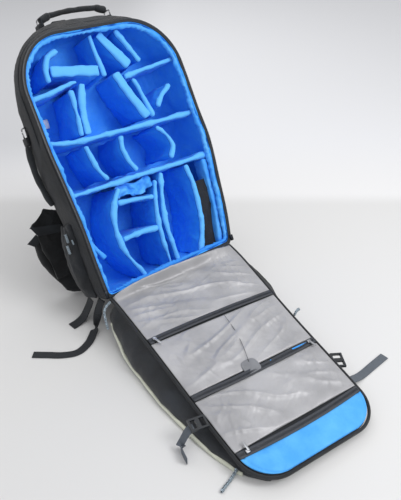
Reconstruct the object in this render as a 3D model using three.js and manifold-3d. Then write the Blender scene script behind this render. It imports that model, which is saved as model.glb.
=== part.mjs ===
import * as THREE from 'three';
import { mergeVertices } from 'three/addons/utils/BufferGeometryUtils.js';
import Module from 'manifold-3d';

// Large camera backpack, unzipped and laid open: the body leans back on its hip belt
// and the front lid lies on the floor before it. Millimetres, +Z up, front towards -Y.
// The body is drawn upright, x across, y into the bag from the rim, z up the rim,
// and the lid is drawn flat, along its own length from the hinge.

const { cos, sin, sqrt, PI, min, max, abs, exp } = Math;
const { degToRad, lerp, clamp, smoothstep } = THREE.MathUtils;

// Stance
const hingeHeight = 109;
const leanBack = degToRad(29);
const lidSlope = degToRad(8.8);
const lidSwing = degToRad(-6.3);
const lidTurnLength = 60;
const lidShift = -4.5;
const clearance = 0.3;

// Body
const rimHeight = 612;
const rimHalfWidth = 212;
const topCornerRadius = 122;
const backCornerGrowth = 106;
const hingeCornerRadius = 14;
const rimBand = 9;
const shellWall = 2.5;
const bodyDepth = 181;
const topRise = 64;
const backRounding = 62;
const bottomRounding = 26;
const wallSag = 5;
const endSag = 4;
const flangeDepth = 4;
const rollWidth = 10;
const rollDepth = 13;
const rollPucker = 1.6;
const rollPuckers = 42;

// Dividers
const dividerFront = 20;
const dividerEdge = 3;
const stripDepth = 46;

// Harness behind the body
const backPanelThickness = 17;
const backPanelSeat = 1;
const backPanelInset = 26;
const backPanelTaper = 0.45;
const beltHalfWidth = 250;
const beltHeight = 228;
const beltThickness = 22;
const beltSweep = 18;
const beltSeatUp = 140;
const beltDrift = 0.02;
const strapPadWidth = 66;
const strapPadThickness = 14;
const strapPadLength = 400;
const strapPadSpread = 88;
const strapPadTop = 0.86;
const strapPadRun = 0.78;
const strapPadTaper = 0.28;

// Lid
const lidLength = 593;
const lidHingeHalfWidth = 191;
const lidEndHalfWidth = 164;
const lidCornerRadius = 78;
const lidThickness = 7;
const lidStart = 9;
const lidWave = 2.2;
const lidSeat = 0.5;
const bindingWidth = 7;
const bindingThickness = 8;
const pocketCloth = 1.4;
const pocketFullness = 6;
const zipWidth = 15;
const zipThickness = 2;
const endPadThickness = 5;
const frontPocketSpread = 46;
const frontPocketMargin = 10;
const frontPocketStart = 8;
const frontPocketEnd = 22;
const hingeFoldHeight = 5;
const hingeFoldPlace = 0.14;
const hingeFoldWidth = 0.09;
const tabRadius = 20;
const tabThickness = 2;
const tabSeat = 1.8;
const tabAcross = -10;
const tabShort = 8;
const tabFlat = 0.75;

// Handles, rings and pockets on the outside
const topHandleSpan = 184;
const topHandleRadius = 6.8;
const topHandleRise = 19;
const topHandleOffset = 8;
const topHandleShare = 0.66;
const handleRingWidth = 28;
const handleRingHeight = 25;
const handleRingGap = 1.9;
const handleRingSeat = -0.4;
const sideHandleLength = 150;
const sideHandleRadius = 10;
const sideHandleMiddle = 318;
const sideHandleShare = 0.5;
const sideRingSeat = 2.3;
const sideHandleTuck = 2;
const ringWidth = 30;
const ringWire = 3.6;
const sidePocketHeight = 190;
const sidePocketBulge = 26;
const sidePocketCloth = 2;
const sidePocketGather = 2;
const sidePocketFoot = 8;
const sidePocketFrom = 0.22;
const sidePocketTo = 0.72;

// Webbing and its buckles
const webbingWidth = 20;
const webbingThickness = 2;
const shortWebbingWidth = 26;
const buckleLength = 38;
const buckleWidth = 28;
const buckleThickness = 5.5;
const buckleLeftAlong = 417;
const buckleLeftRise = 2.8;
const buckleRightAlong = 430;
const buckleRightDrop = 8.7;
const pullDiameter = 5;

// The rim's half width and its drift to the right, as shares of rimHalfWidth,
// and the body's depth as a share of bodyDepth, up the rim as a share of rimHeight
const rimSections = [
  { up: 0.00, half: 0.903, drift: 0.017, deep: 1.00 },
  { up: 0.13, half: 0.941, drift: 0.047, deep: 0.99 },
  { up: 0.27, half: 0.962, drift: 0.068, deep: 0.98 },
  { up: 0.46, half: 1.000, drift: 0.078, deep: 0.96 },
  { up: 0.60, half: 0.998, drift: 0.050, deep: 0.93 },
  { up: 0.74, half: 0.993, drift: 0.038, deep: 0.86 },
  { up: 0.88, half: 0.985, drift: 0.020, deep: 0.76 },
  { up: 1.00, half: 0.985, drift: 0.000, deep: 0.69 },
];

// How far the walls draw in towards the back, as a share of backRounding,
// at each share of the depth
const planSections = [
  { deep: 0.00, draw: 0.00 },
  { deep: 0.30, draw: -0.05 },
  { deep: 0.55, draw: 0.04 },
  { deep: 0.75, draw: 0.23 },
  { deep: 0.90, draw: 0.55 },
  { deep: 1.00, draw: 1.00 },
];

// Front edges of the padded dividers: each line's points are shares of rimHalfWidth
// across and of rimHeight up, and thick is in millimetres
const dividers = [
  { name: 'divider_top_left', thick: 11, line: [[-0.45, 0.95], [-0.585, 0.93], [-0.646, 0.88], [-0.66, 0.84]] },
  { name: 'divider_top_block', thick: 25, line: [[-0.6, 0.877], [-0.028, 0.845]] },
  { name: 'divider_top_centre', thick: 12, line: [[0.005, 0.985], [0.01, 0.918], [0.024, 0.819]] },
  { name: 'divider_slant_block', thick: 24, line: [[0.108, 0.985], [0.377, 0.842]] },
  { name: 'divider_slant_right', thick: 11, line: [[0.344, 0.985], [0.542, 0.848]] },
  { name: 'divider_shelf_right', thick: 11, line: [[0.274, 0.799], [0.604, 0.814], [1.03, 0.828]] },
  { name: 'divider_shelf_left', thick: 11, line: [[-1.02, 0.789], [-0.684, 0.8], [-0.46, 0.818], [-0.33, 0.823]] },
  { name: 'divider_panel_left', thick: 11, line: [[-0.443, 0.792], [-0.458, 0.724], [-0.495, 0.62]] },
  { name: 'divider_post_left', thick: 17, line: [[-0.283, 0.812], [-0.382, 0.717], [-0.413, 0.618]] },
  { name: 'divider_post_right', thick: 20, line: [[0.175, 0.82], [0.278, 0.724], [0.4, 0.624]] },
  { name: 'divider_lean_right', thick: 9, line: [[0.377, 0.784], [0.425, 0.714], [0.486, 0.62]] },
  { name: 'divider_flap_right', thick: 11, line: [[0.844, 0.724], [0.693, 0.693], [0.59, 0.652]] },
  {
    name: 'divider_row_upper',
    thick: 11,
    line: [[-1.02, 0.634], [-0.684, 0.6045], [-0.434, 0.5995], [0.08, 0.5965], [0.637, 0.5915], [1.1, 0.59]],
  },
  { name: 'divider_curve_left', thick: 10, line: [[-0.495, 0.575], [-0.472, 0.52], [-0.438, 0.47], [-0.373, 0.428]] },
  { name: 'divider_curve_centre', thick: 11, line: [[-0.028, 0.577], [-0.061, 0.518], [0.009, 0.44], [0.033, 0.426]] },
  { name: 'divider_curve_right', thick: 11, line: [[0.472, 0.571], [0.571, 0.536], [0.627, 0.48], [0.542, 0.43]] },
  {
    name: 'divider_row_lower',
    thick: 11,
    line: [[-1.05, 0.412], [-0.396, 0.405], [0.1085, 0.4035], [0.651, 0.397], [1.15, 0.397]],
  },
  {
    name: 'divider_bay_left',
    thick: 11,
    line: [[-0.283, 0.38], [-0.382, 0.338], [-0.458, 0.279], [-0.49, 0.206], [-0.458, 0.118], [-0.349, 0.034],
      [-0.3, -0.02]],
  },
  {
    name: 'divider_bay_centre',
    thick: 11,
    line: [[0.33, 0.384], [0.236, 0.279], [0.175, 0.176], [0.175, 0.095], [0.184, -0.02]],
  },
  { name: 'divider_bay_inner', thick: 8, line: [[0.212, 0.361], [0.146, 0.289], [0.071, 0.168], [0.061, -0.02]] },
  {
    name: 'divider_bay_right',
    thick: 13,
    line: [[0.7075, 0.38], [0.74, 0.289], [0.717, 0.18], [0.656, 0.0915], [0.5, -0.02]],
  },
  { name: 'divider_cross_upper', thick: 11, line: [[-0.349, 0.325], [-0.094, 0.315], [0.123, 0.302]] },
  { name: 'divider_cross_lower', thick: 11, line: [[-0.434, 0.18], [-0.146, 0.18], [0.0425, 0.171]] },
];

// Loose edges of the padded lining that stand in from the side walls, drawn the same way
const liningStrips = [
  { name: 'lining_strip_left', thick: 12, line: [[-0.875, 0.295], [-0.84, 0.21], [-0.74, 0.14]] },
  { name: 'lining_strip_right', thick: 15, line: [[0.99, 0.38], [0.97, 0.28], [0.945, 0.17], [0.9, 0.08], [0.85, 0.0]] },
];

// Where each mesh pocket and zip lies along the lid, as shares of lidLength
const meshPockets = [
  { name: 'mesh_pocket_hinge', from: 0.02, to: 0.31 },
  { name: 'mesh_pocket_middle', from: 0.339, to: 0.597 },
  { name: 'mesh_pocket_end', from: 0.627, to: 0.852 },
];
const lidZips = [
  { name: 'lid_zip_hinge', along: 0.3245 },
  { name: 'lid_zip_middle', along: 0.612 },
  { name: 'lid_zip_end', along: 0.867 },
];

// Outline of one wing of the hip belt: its reach and its top and bottom edges
// as shares of beltHalfWidth and beltHeight
const beltSections = [
  { reach: 0.00, high: 0.62, low: 0.10 },
  { reach: 0.45, high: 0.66, low: 0.06 },
  { reach: 0.67, high: 1.00, low: 0.02 },
  { reach: 0.82, high: 0.95, low: 0.00 },
  { reach: 0.93, high: 0.81, low: 0.17 },
  { reach: 1.00, high: 0.70, low: 0.45 },
];

// How far the outer pocket swells past each side of the lid, as a share of frontPocketSpread
const pocketSections = [
  { along: 0.00, left: 0.45, right: 0.70 },
  { along: 0.12, left: 0.75, right: 0.95 },
  { along: 0.30, left: 0.98, right: 0.85 },
  { along: 0.50, left: 1.00, right: 0.45 },
  { along: 0.70, left: 0.85, right: 0.30 },
  { along: 0.88, left: 0.45, right: 0.20 },
  { along: 1.00, left: 0.00, right: 0.00 },
];

// Section of the outer pocket from under the lid down to the floor
const pocketSides = [
  { drop: 0.00, swell: 0.00 }, { drop: 0.27, swell: 0.42 }, { drop: 0.55, swell: 0.92 },
  { drop: 0.78, swell: 1.00 }, { drop: 0.94, swell: 0.80 }, { drop: 1.00, swell: 0.45 },
];

// Routes of the loose webbing and the cord pulls: points from the hinge's middle,
// x across, y back, z above the floor
const longStrapRoute = [
  [-191.9, 38, 76], [-202, 38, 55], [-211, 36, 30], [-220, 31, 10], [-236, 17, 6], [-262, -3, 2],
  [-298, -14, 1.3], [-330, 0, 1.3], [-356, 22, 1.3], [-384, 46, 1.3],
];
const shortStrapRoute = [
  [-199, 83, 53.8], [-203, 83.5, 42], [-213, 83, 26], [-228, 81, 9], [-246, 79, 2.2], [-264, 77, 1.3],
];
const leftTailRoute = [
  [-243, -389, 46.5], [-254, -386, 43], [-264, -384, 28], [-271, -384, 16], [-276, -389, 11], [-281, -402, 11],
  [-286, -421, 11.2],
];
const rightTailRoute = [
  [105.6, -487, 19], [121, -488, 14], [140, -489, 8], [165, -489, 1.8], [210, -487, 1.3], [258, -485, 1.3],
];
const hingePullRoute = [
  [-196.2, -15, 104.5], [-209, -17, 99], [-219, -22, 90], [-224, -32, 77], [-226, -40, 66], [-226.5, -44, 57],
];
const frontPullRoute = [
  [-222, -494, 12], [-231, -496.5, 6], [-243, -500, 3.2], [-254, -503, 3.2], [-263, -505, 3.2], [-272, -508, 3.2],
];

// Reading a table as a smooth curve

function curveOf(rows, place, column) {
  const places = rows.map((row) => row[place]);
  const values = rows.map((row) => row[column]);
  const fit = new THREE.CubicInterpolant(places, values, 1);
  return (at) => fit.evaluate(clamp(at, places[0], places[places.length - 1]))[0];
}

const halfShare = curveOf(rimSections, 'up', 'half');
const driftShare = curveOf(rimSections, 'up', 'drift');
const depthShare = curveOf(rimSections, 'up', 'deep');
const drawShare = curveOf(planSections, 'deep', 'draw');

// Closed bodies from rings and grids of points

function closedBody(points, faces) {
  let volume = 0;
  for (const [a, b, c] of faces) {
    volume += points[a].dot(new THREE.Vector3().crossVectors(points[b], points[c]));
  }
  const outward = volume > 0 ? faces : faces.map(([a, b, c]) => [a, c, b]);
  const geometry = new THREE.BufferGeometry().setFromPoints(points);
  geometry.setIndex(outward.flat());
  geometry.computeVertexNormals();
  return geometry;
}

// End faces: a fan about the middle, or strips from side to side up a symmetric ring
function fanEnd(points, first, count) {
  const hub = new THREE.Vector3();
  for (let i = 0; i < count; i++) hub.add(points[first + i]);
  points.push(hub.divideScalar(count));
  return Array.from({ length: count }, (_, i) => [points.length - 1, first + i, first + ((i + 1) % count)]);
}

function ladderEnd(points, first, count) {
  const at = (i) => first + ((i + count) % count);
  const faces = [];
  let low = 1;
  let high = 2;
  for (let n = 1; n < count - 1; n++) {
    if (n % 2) {
      faces.push([at(low - 1), at(low), at(high)]);
      low -= 1;
    } else {
      faces.push([at(low), at(high), at(high + 1)]);
      high += 1;
    }
  }
  return faces;
}

// ends holds the two end faces, or is null where the last ring joins the first
function loft(rings, ends = [fanEnd, fanEnd]) {
  const count = rings[0].length;
  const points = rings.flat();
  const faces = [];
  const joins = ends ? rings.length - 1 : rings.length;
  for (let k = 0; k < joins; k++) {
    const here = k * count;
    const there = ((k + 1) % rings.length) * count;
    for (let i = 0; i < count; i++) {
      const j = (i + 1) % count;
      const rising = points[here + i].distanceTo(points[there + j]);
      const falling = points[here + j].distanceTo(points[there + i]);
      if (rising < falling) faces.push([here + i, here + j, there + j], [here + i, there + j, there + i]);
      else faces.push([here + i, here + j, there + i], [here + j, there + j, there + i]);
    }
  }
  if (ends) {
    const last = (rings.length - 1) * count;
    faces.push(...ends[0](points, 0, count).map(([a, b, c]) => [a, c, b]));
    faces.push(...ends[1](points, last, count));
  }
  return closedBody(points, faces);
}

function slab(columns, rows, upper, lower) {
  const wide = columns + 1;
  const sheet = wide * (rows + 1);
  const points = [];
  for (const side of [upper, lower]) {
    for (let j = 0; j <= rows; j++) {
      for (let i = 0; i <= columns; i++) points.push(side(i / columns, j / rows));
    }
  }
  const faces = [];
  for (let j = 0; j < rows; j++) {
    for (let i = 0; i < columns; i++) {
      const a = j * wide + i;
      faces.push([a, a + 1, a + wide + 1], [a, a + wide + 1, a + wide]);
      faces.push([sheet + a, sheet + a + wide + 1, sheet + a + 1], [sheet + a, sheet + a + wide, sheet + a + wide + 1]);
    }
  }
  const rim = [];
  for (let i = 0; i < columns; i++) rim.push(i);
  for (let j = 0; j < rows; j++) rim.push(j * wide + columns);
  for (let i = columns; i > 0; i--) rim.push(rows * wide + i);
  for (let j = rows; j > 0; j--) rim.push(j * wide);
  rim.forEach((a, k) => {
    const b = rim[(k + 1) % rim.length];
    faces.push([a, sheet + a, sheet + b], [a, sheet + b, b]);
  });
  return closedBody(points, faces);
}

// Sections that are swept along a path: u across it and v through its thickness

function roundSection(sides) {
  return Array.from({ length: sides }, (_, i) => {
    const turn = (2 * PI * i) / sides;
    return { u: cos(turn), v: sin(turn) };
  });
}

const flatSection = [
  { u: 1, v: -0.5 }, { u: 1, v: 0.5 }, { u: 0.93, v: 1 }, { u: -0.93, v: 1 },
  { u: -1, v: 0.5 }, { u: -1, v: -0.5 }, { u: -0.93, v: -1 }, { u: 0.93, v: -1 },
];

function sweep(path, section, halfWidth, halfThickness, across, endless = false) {
  const last = path.length - 1;
  const rings = path.map((at, i) => {
    const before = endless ? path[(i + last) % path.length] : path[max(i - 1, 0)];
    const after = endless ? path[(i + 1) % path.length] : path[min(i + 1, last)];
    const along = after.clone().sub(before).normalize();
    const wish = typeof across === 'function' ? across(i / last) : across;
    const side = wish.clone().addScaledVector(along, -wish.dot(along)).normalize();
    const through = new THREE.Vector3().crossVectors(along, side);
    return section.map(({ u, v }) => at.clone()
      .addScaledVector(side, u * halfWidth)
      .addScaledVector(through, v * halfThickness));
  });
  return endless ? loft(rings, null) : loft(rings);
}

function smoothPath(points, steps) {
  const curve = new THREE.CatmullRomCurve3(points, false, 'centripetal');
  return curve.getSpacedPoints(steps);
}

// Joining and cutting closed bodies

const wasm = await Module();
wasm.setup();

function toManifold(geometry) {
  const bare = geometry.clone();
  bare.deleteAttribute('normal');
  bare.deleteAttribute('uv');
  const merged = mergeVertices(bare, 1e-4);
  return new wasm.Manifold(new wasm.Mesh({
    numProp: 3,
    vertProperties: new Float32Array(merged.attributes.position.array),
    triVerts: new Uint32Array(merged.index.array),
  }));
}

function fromManifold(solid) {
  const { vertProperties, triVerts, numProp } = solid.getMesh();
  const geometry = new THREE.BufferGeometry();
  const xyz = [];
  for (let i = 0; i < vertProperties.length; i += numProp) {
    xyz.push(vertProperties[i], vertProperties[i + 1], vertProperties[i + 2]);
  }
  geometry.setAttribute('position', new THREE.Float32BufferAttribute(xyz, 3));
  geometry.setIndex(Array.from(triVerts));
  geometry.computeVertexNormals();
  return geometry;
}

// The body's form: depth of the outside at a height, and one ring of points round it

function depthAt(up) {
  return bodyDepth * depthShare(clamp(up / rimHeight, 0, 1));
}

function drawIn(deep) {
  return backRounding * drawShare(deep);
}

// The side walls swell between the seams a third and two thirds of the way up
function sagAt(up, deep) {
  const rise = clamp(up / rimHeight, 0, 1);
  return wallSag * sin(PI * deep) * (0.6 + 0.4 * cos(4 * PI * rise));
}

function wallX(side, up, deep, inset) {
  const rise = clamp(up / rimHeight, 0, 1);
  const half = rimHalfWidth + rimBand - drawIn(deep) - inset + sagAt(up, deep);
  return rimHalfWidth * driftShare(rise) + side * half * halfShare(rise);
}

function bodyRing(inset, deep, trim = 0, front = flangeDepth + clearance) {
  const grow = rimBand - drawIn(deep) - inset;
  const half = rimHalfWidth + grow;
  const top = rimHeight + grow + topRise * deep;
  const bottom = -(rimBand - inset) + bottomRounding * drawShare(deep) - wallSag * sin(PI * deep) * 0.4;
  const topRadius = min(topCornerRadius + backCornerGrowth * deep + grow, half - 2);
  const bottomRadius = hingeCornerRadius + (rimBand - inset) * 0.5 + bottomRounding * deep;
  const outline = [];
  const corner = (side, radius, middleX, middleZ, from, to, steps) => {
    for (let i = 0; i <= steps; i++) {
      const turn = lerp(from, to, i / steps);
      outline.push([side * (middleX + radius * cos(turn)), middleZ + radius * sin(turn)]);
    }
  };
  const straight = (from, to, steps) => {
    for (let i = 1; i < steps; i++) {
      outline.push([lerp(from[0], to[0], i / steps), lerp(from[1], to[1], i / steps)]);
    }
  };
  const wallFrom = bottom + bottomRadius;
  const wallTo = top - topRadius;
  straight([-(half - bottomRadius), bottom], [half - bottomRadius, bottom], 4);
  corner(1, bottomRadius, half - bottomRadius, wallFrom, -PI / 2, 0, 2);
  straight([half, wallFrom], [half, wallTo], 6);
  corner(1, topRadius, half - topRadius, wallTo, 0, PI / 2, 7);
  straight([half - topRadius, top], [-(half - topRadius), top], 4);
  corner(-1, topRadius, half - topRadius, wallTo, PI / 2, 0, 7);
  straight([-half, wallTo], [-half, wallFrom], 6);
  corner(-1, bottomRadius, half - bottomRadius, wallFrom, 0, -PI / 2, 2);
  return outline.map(([x, z]) => {
    const rise = clamp(z / rimHeight, 0, 1);
    const swell = sagAt(z, deep) * (x / half);
    const bow = endSag * deep * (1 - (x / half) ** 2) * (2 * rise - 1);
    return new THREE.Vector3(
      rimHalfWidth * driftShare(rise) + (x + swell) * halfShare(rise),
      front + deep * (depthAt(z) - trim - front),
      z + bow,
    );
  });
}

const depthSteps = [0, 0.35, 0.7, 0.88, 1];

function bodyRings(inset, trim, front) {
  return depthSteps.map((deep) => bodyRing(inset, deep, trim, front));
}

function traySolid(outerInset, outerTrim, innerInset, innerTrim, front) {
  const outside = bodyRings(outerInset, outerTrim, front).reverse();
  const inside = bodyRings(innerInset, innerTrim, front);
  return loft([...outside, ...inside], [ladderEnd, ladderEnd]);
}

function frameRing(outerInset, innerInset, from, to) {
  const rings = [[outerInset, from], [outerInset, to], [innerInset, to], [innerInset, from]];
  return loft(rings.map(([inset, y]) => bodyRing(inset, 0, 0, y)), null);
}

// Meshes and the groups that carry them

const bag = new THREE.Group();
const body = new THREE.Group();
body.position.z = hingeHeight;
body.rotation.x = -leanBack;
const lid = new THREE.Group();
lid.position.z = hingeHeight;
lid.rotation.x = lidSlope;
const floor = new THREE.Group();
bag.add(body, lid, floor);

const blackCloth = { color: 0x24262a, roughness: 0.85, metalness: 0 };
const blackWebbing = { color: 0x1b1c1f, roughness: 0.8, metalness: 0 };
const greyWebbing = { color: 0x5b6067, roughness: 0.8, metalness: 0 };
const blueLining = { color: 0x2f7fe6, roughness: 0.6, metalness: 0 };
const paleBlueLining = { color: 0x5aaef8, roughness: 0.55, metalness: 0 };
const greyMesh = { color: 0xa6a7aa, roughness: 0.6, metalness: 0 };
const blackZip = { color: 0x303338, roughness: 0.6, metalness: 0 };
const blackPlastic = { color: 0x202124, roughness: 0.45, metalness: 0 };
const gunMetal = { color: 0x8a8c90, roughness: 0.35, metalness: 0.9 };
const cordBlend = { color: 0x5a6b7c, roughness: 0.8, metalness: 0 };

function add(group, name, geometry, finish) {
  const mesh = new THREE.Mesh(geometry, new THREE.MeshStandardMaterial(finish));
  mesh.name = name;
  group.add(mesh);
  return mesh;
}

// Shell, lining and rim

const linerInset = shellWall + clearance;
const interiorTrim = rimBand;
add(body, 'body_shell', traySolid(0, 0, shellWall, shellWall), blackCloth);
add(body, 'padded_liner', traySolid(linerInset, linerInset, rimBand, interiorTrim), blueLining);
add(body, 'rim_flange', frameRing(0, rimBand, 0, flangeDepth), blackZip);

// The puckered band of lining just inside the rim
function liningRoll() {
  const base = bodyRing(rimBand, 0, 0, 0);
  const curve = new THREE.CatmullRomCurve3(base, true, 'catmullrom', 0);
  const count = 2 * rollPuckers;
  const path = curve.getSpacedPoints(count).slice(0, count);
  const front = flangeDepth + clearance;
  const rings = path.map((at, i) => {
    const along = path[(i + 1) % count].clone().sub(path[(i + count - 1) % count]).normalize();
    const inward = new THREE.Vector3(-along.z, 0, along.x);
    const pucker = i % 2 ? rollPucker : -rollPucker;
    return [
      { into: clearance, y: front },
      { into: rollWidth * 0.6, y: front },
      { into: rollWidth + pucker, y: front + rollDepth * 0.4 },
      { into: rollWidth * 0.7 + pucker, y: front + rollDepth * 0.85 },
      { into: clearance + 1, y: front + rollDepth },
    ].map(({ into, y }) => at.clone().addScaledVector(inward, into).setY(y));
  });
  return loft(rings, null);
}
add(body, 'lining_roll', liningRoll(), paleBlueLining);

// Padded dividers, cut to the inside of the lining

const interior = toManifold(loft(bodyRings(rimBand + clearance, interiorTrim + clearance), [fanEnd, ladderEnd]));

function dividerSolid({ thick, line }, from, to) {
  const points = line.map(([x, z]) => new THREE.Vector3(x * rimHalfWidth, 0, z * rimHeight));
  const path = points.length > 2 ? smoothPath(points, 2 * (points.length - 1)) : points;
  const half = thick / 2;
  const last = path.length - 1;
  const rings = path.map((at, i) => {
    const along = path[min(i + 1, last)].clone().sub(path[max(i - 1, 0)]).normalize();
    const normal = new THREE.Vector3(along.z, 0, -along.x);
    const edge = min(dividerEdge, half * 0.6);
    return [
      { out: -half, y: to }, { out: -half, y: from + edge }, { out: -half + edge * 0.6, y: from },
      { out: half - edge * 0.6, y: from }, { out: half, y: from + edge }, { out: half, y: to },
    ].map(({ out, y }) => at.clone().addScaledVector(normal, out).setY(y));
  });
  return toManifold(loft(rings));
}

for (const row of dividers) {
  const solid = dividerSolid(row, dividerFront, bodyDepth + clearance).intersect(interior);
  add(body, row.name, fromManifold(solid), blueLining);
}

const rollBack = flangeDepth + rollDepth + 2 * clearance;
for (const row of liningStrips) {
  const solid = dividerSolid(row, rollBack, rollBack + stripDepth).intersect(interior);
  add(body, row.name, fromManifold(solid), paleBlueLining);
}

// Padded back panel, hip belt and shoulder straps

function backY(up) {
  return depthAt(up) + backPanelThickness + backPanelSeat;
}

function backPanel() {
  const low = -rimBand + bottomRounding + backPanelInset * 0.6;
  const high = rimHeight + rimBand + topRise - backRounding - backPanelInset;
  const place = (out) => (u, v) => {
    const z = lerp(low, high, v);
    const corner = 1 - backPanelTaper * smoothstep(v, 0.72, 1) ** 2;
    const half = (rimHalfWidth - backRounding + rimBand - backPanelInset * 0.3) * corner;
    const x = rimHalfWidth * driftShare(v) + (2 * u - 1) * half;
    const rounding = out * (1 - 0.35 * abs(2 * u - 1) ** 6) * (1 - 0.3 * abs(2 * v - 1) ** 8);
    return new THREE.Vector3(x, depthAt(z) + backPanelSeat + rounding, z);
  };
  return slab(8, 8, place(0), place(backPanelThickness));
}
add(body, 'back_panel', backPanel(), blackCloth);

// Height of the floor in the leaning body's own measure
function floorUnderBody(y) {
  return (y * sin(leanBack) - hingeHeight) / cos(leanBack);
}

const beltHigh = curveOf(beltSections, 'reach', 'high');
const beltLow = curveOf(beltSections, 'reach', 'low');

function hipBelt() {
  const near = backY(beltSeatUp) + clearance;
  const place = (face) => (u, v) => {
    const across = 2 * u - 1;
    const reach = abs(across);
    const sweepBack = beltSweep * smoothstep(reach, 0.4, 1);
    const seat = floorUnderBody(near + sweepBack + beltThickness) + 0.05;
    const round = 1 - 0.35 * abs(2 * v - 1) ** 6;
    const front = near + sweepBack;
    const y = face ? front + beltThickness * round : front;
    const z = seat + beltHeight * lerp(max(beltLow(reach), 0), beltHigh(reach), v);
    return new THREE.Vector3(rimHalfWidth * beltDrift + across * beltHalfWidth, y, z);
  };
  return slab(14, 4, place(0), place(1));
}
add(body, 'hip_belt', hipBelt(), blackCloth);

function shoulderStrap(side) {
  const top = rimHeight * strapPadTop;
  const place = (face) => (u, v) => {
    const z = top - v * strapPadLength * strapPadRun;
    const middle = side * (strapPadSpread * (0.62 + 0.5 * sin(PI * v * 0.9)));
    const half = (strapPadWidth / 2) * (1 - strapPadTaper * v * v);
    const crown = strapPadThickness * (1 - 0.4 * abs(2 * u - 1) ** 4);
    const lift = beltThickness * 0.4 * sin(PI * v);
    return new THREE.Vector3(middle + (2 * u - 1) * half, backY(z) + clearance + face * crown + lift * face, z);
  };
  return slab(4, 8, place(0), place(1));
}
add(body, 'shoulder_strap_left', shoulderStrap(-1), blackCloth);
add(body, 'shoulder_strap_right', shoulderStrap(1), blackCloth);

// Gathered pockets low on the side walls

function sidePocket(side) {
  const low = -rimBand + sidePocketFoot;
  const place = (outside) => (u, v) => {
    const deep = lerp(sidePocketFrom, sidePocketTo, u);
    const z = low + v * sidePocketHeight;
    const edge = (1 - abs(2 * u - 1) ** 4) * (1 - 0.75 * v ** 3) * (1 - 0.7 * (1 - v) ** 6);
    const gather = sidePocketGather * sin(8 * PI * u) * v * (1 - abs(2 * u - 1) ** 4);
    const out = outside * (sidePocketCloth + sidePocketBulge * edge + gather);
    const front = flangeDepth + clearance;
    return new THREE.Vector3(
      wallX(side, z, deep, 0) + side * (3 * clearance + out),
      front + deep * (depthAt(z) - front),
      z,
    );
  };
  return slab(14, 5, place(0), place(1));
}
add(body, 'side_pocket_left', sidePocket(-1), blackCloth);
add(body, 'side_pocket_right', sidePocket(1), blackCloth);

// Handles and their rings

function ringGeometry(width, height, wire) {
  const path = [];
  const radius = wire * 1.4;
  const corners = [[1, 1], [-1, 1], [-1, -1], [1, -1]];
  corners.forEach(([sx, sz], k) => {
    for (let i = 0; i <= 2; i++) {
      const turn = (PI / 2) * (k + i / 2);
      path.push(new THREE.Vector3(
        sx * (width / 2 - radius) + radius * cos(turn),
        0,
        sz * (height / 2 - radius) + radius * sin(turn),
      ));
    }
  });
  return sweep(path, roundSection(6), wire / 2, wire / 2, new THREE.Vector3(0, 1, 0), true);
}

function topAt(deep) {
  return rimHeight + rimBand - drawIn(deep) + topRise * deep;
}

const handleY = topHandleShare * depthAt(rimHeight);
const handleFoot = topAt(topHandleShare);

function topHandle() {
  const half = topHandleSpan / 2 - 2;
  const points = [
    [-half, 0.52], [-half * 0.9, 0.74], [-half * 0.5, 1], [0, 1.16], [half * 0.5, 1.08], [half * 0.9, 0.86],
    [half, 0.66],
  ].map(([x, rise]) => new THREE.Vector3(topHandleOffset + x, handleY, handleFoot + 4 + rise * topHandleRise));
  return sweep(smoothPath(points, 16), roundSection(8), topHandleRadius, topHandleRadius,
    new THREE.Vector3(0, 1, 0));
}
add(body, 'top_handle', topHandle(), blackCloth);

// Height of the top wall over a place across the bag
function wallUnder(x, deep) {
  const ring = bodyRing(0, deep);
  const next = ring.findIndex((point, i) => point.z > rimHeight / 2 && i > 0 && point.x <= x && ring[i - 1].x > x);
  const [from, to] = [ring[next - 1], ring[next]];
  return lerp(from.z, to.z, (x - from.x) / (to.x - from.x));
}

// Rectangular rings that tie the handle's two ends to the top wall, square to its slope
const topSlope = Math.atan2(topAt(topHandleShare + 0.1) - topAt(topHandleShare - 0.1), 0.2 * depthAt(rimHeight));
for (const [name, side] of [['handle_ring_left', -1], ['handle_ring_right', 1]]) {
  const ring = add(body, name, ringGeometry(handleRingWidth, handleRingHeight, ringWire), gunMetal);
  const x = topHandleOffset + side * (topHandleSpan / 2 + handleRingGap);
  const rise = (handleRingHeight + ringWire) / 2 + handleRingSeat;
  const wall = max(wallUnder(x - ringWire / 2, topHandleShare), wallUnder(x + ringWire / 2, topHandleShare));
  ring.position.set(x, handleY - rise * sin(topSlope), wall + rise * cos(topSlope));
  ring.rotation.set(topSlope, 0, PI / 2);
}

function sideHandle() {
  const deep = sideHandleShare;
  const half = sideHandleLength / 2;
  const points = [[-half, 0], [-half + 8, 3], [-half * 0.5, 7], [0, 9], [half * 0.5, 7], [half - 8, 3], [half, 0]]
    .map(([z, out]) => {
      const up = sideHandleMiddle + z;
      const x = wallX(-1, up, deep, 0) - sideHandleRadius * 0.8 + sideHandleTuck - out * 0.7;
      return new THREE.Vector3(x, deep * depthAt(up), up);
    });
  return sweep(smoothPath(points, 12), roundSection(8), sideHandleRadius, sideHandleRadius * 0.8,
    new THREE.Vector3(0, 1, 0));
}
add(body, 'side_handle', sideHandle(), blackCloth);

const sideRing = add(body, 'side_ring', ringGeometry(ringWidth, ringWidth * 1.3, ringWire), gunMetal);
const sideRingUp = sideHandleMiddle + sideHandleLength / 2 + ringWidth * 0.65 + ringWire;
sideRing.position.set(
  wallX(-1, sideRingUp, sideHandleShare, 0) - ringWire / 2 - sideRingSeat,
  sideHandleShare * depthAt(sideRingUp),
  sideRingUp,
);
sideRing.rotation.z = PI / 2;

// Lid: a strip that swings to the left as it leaves the hinge

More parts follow.
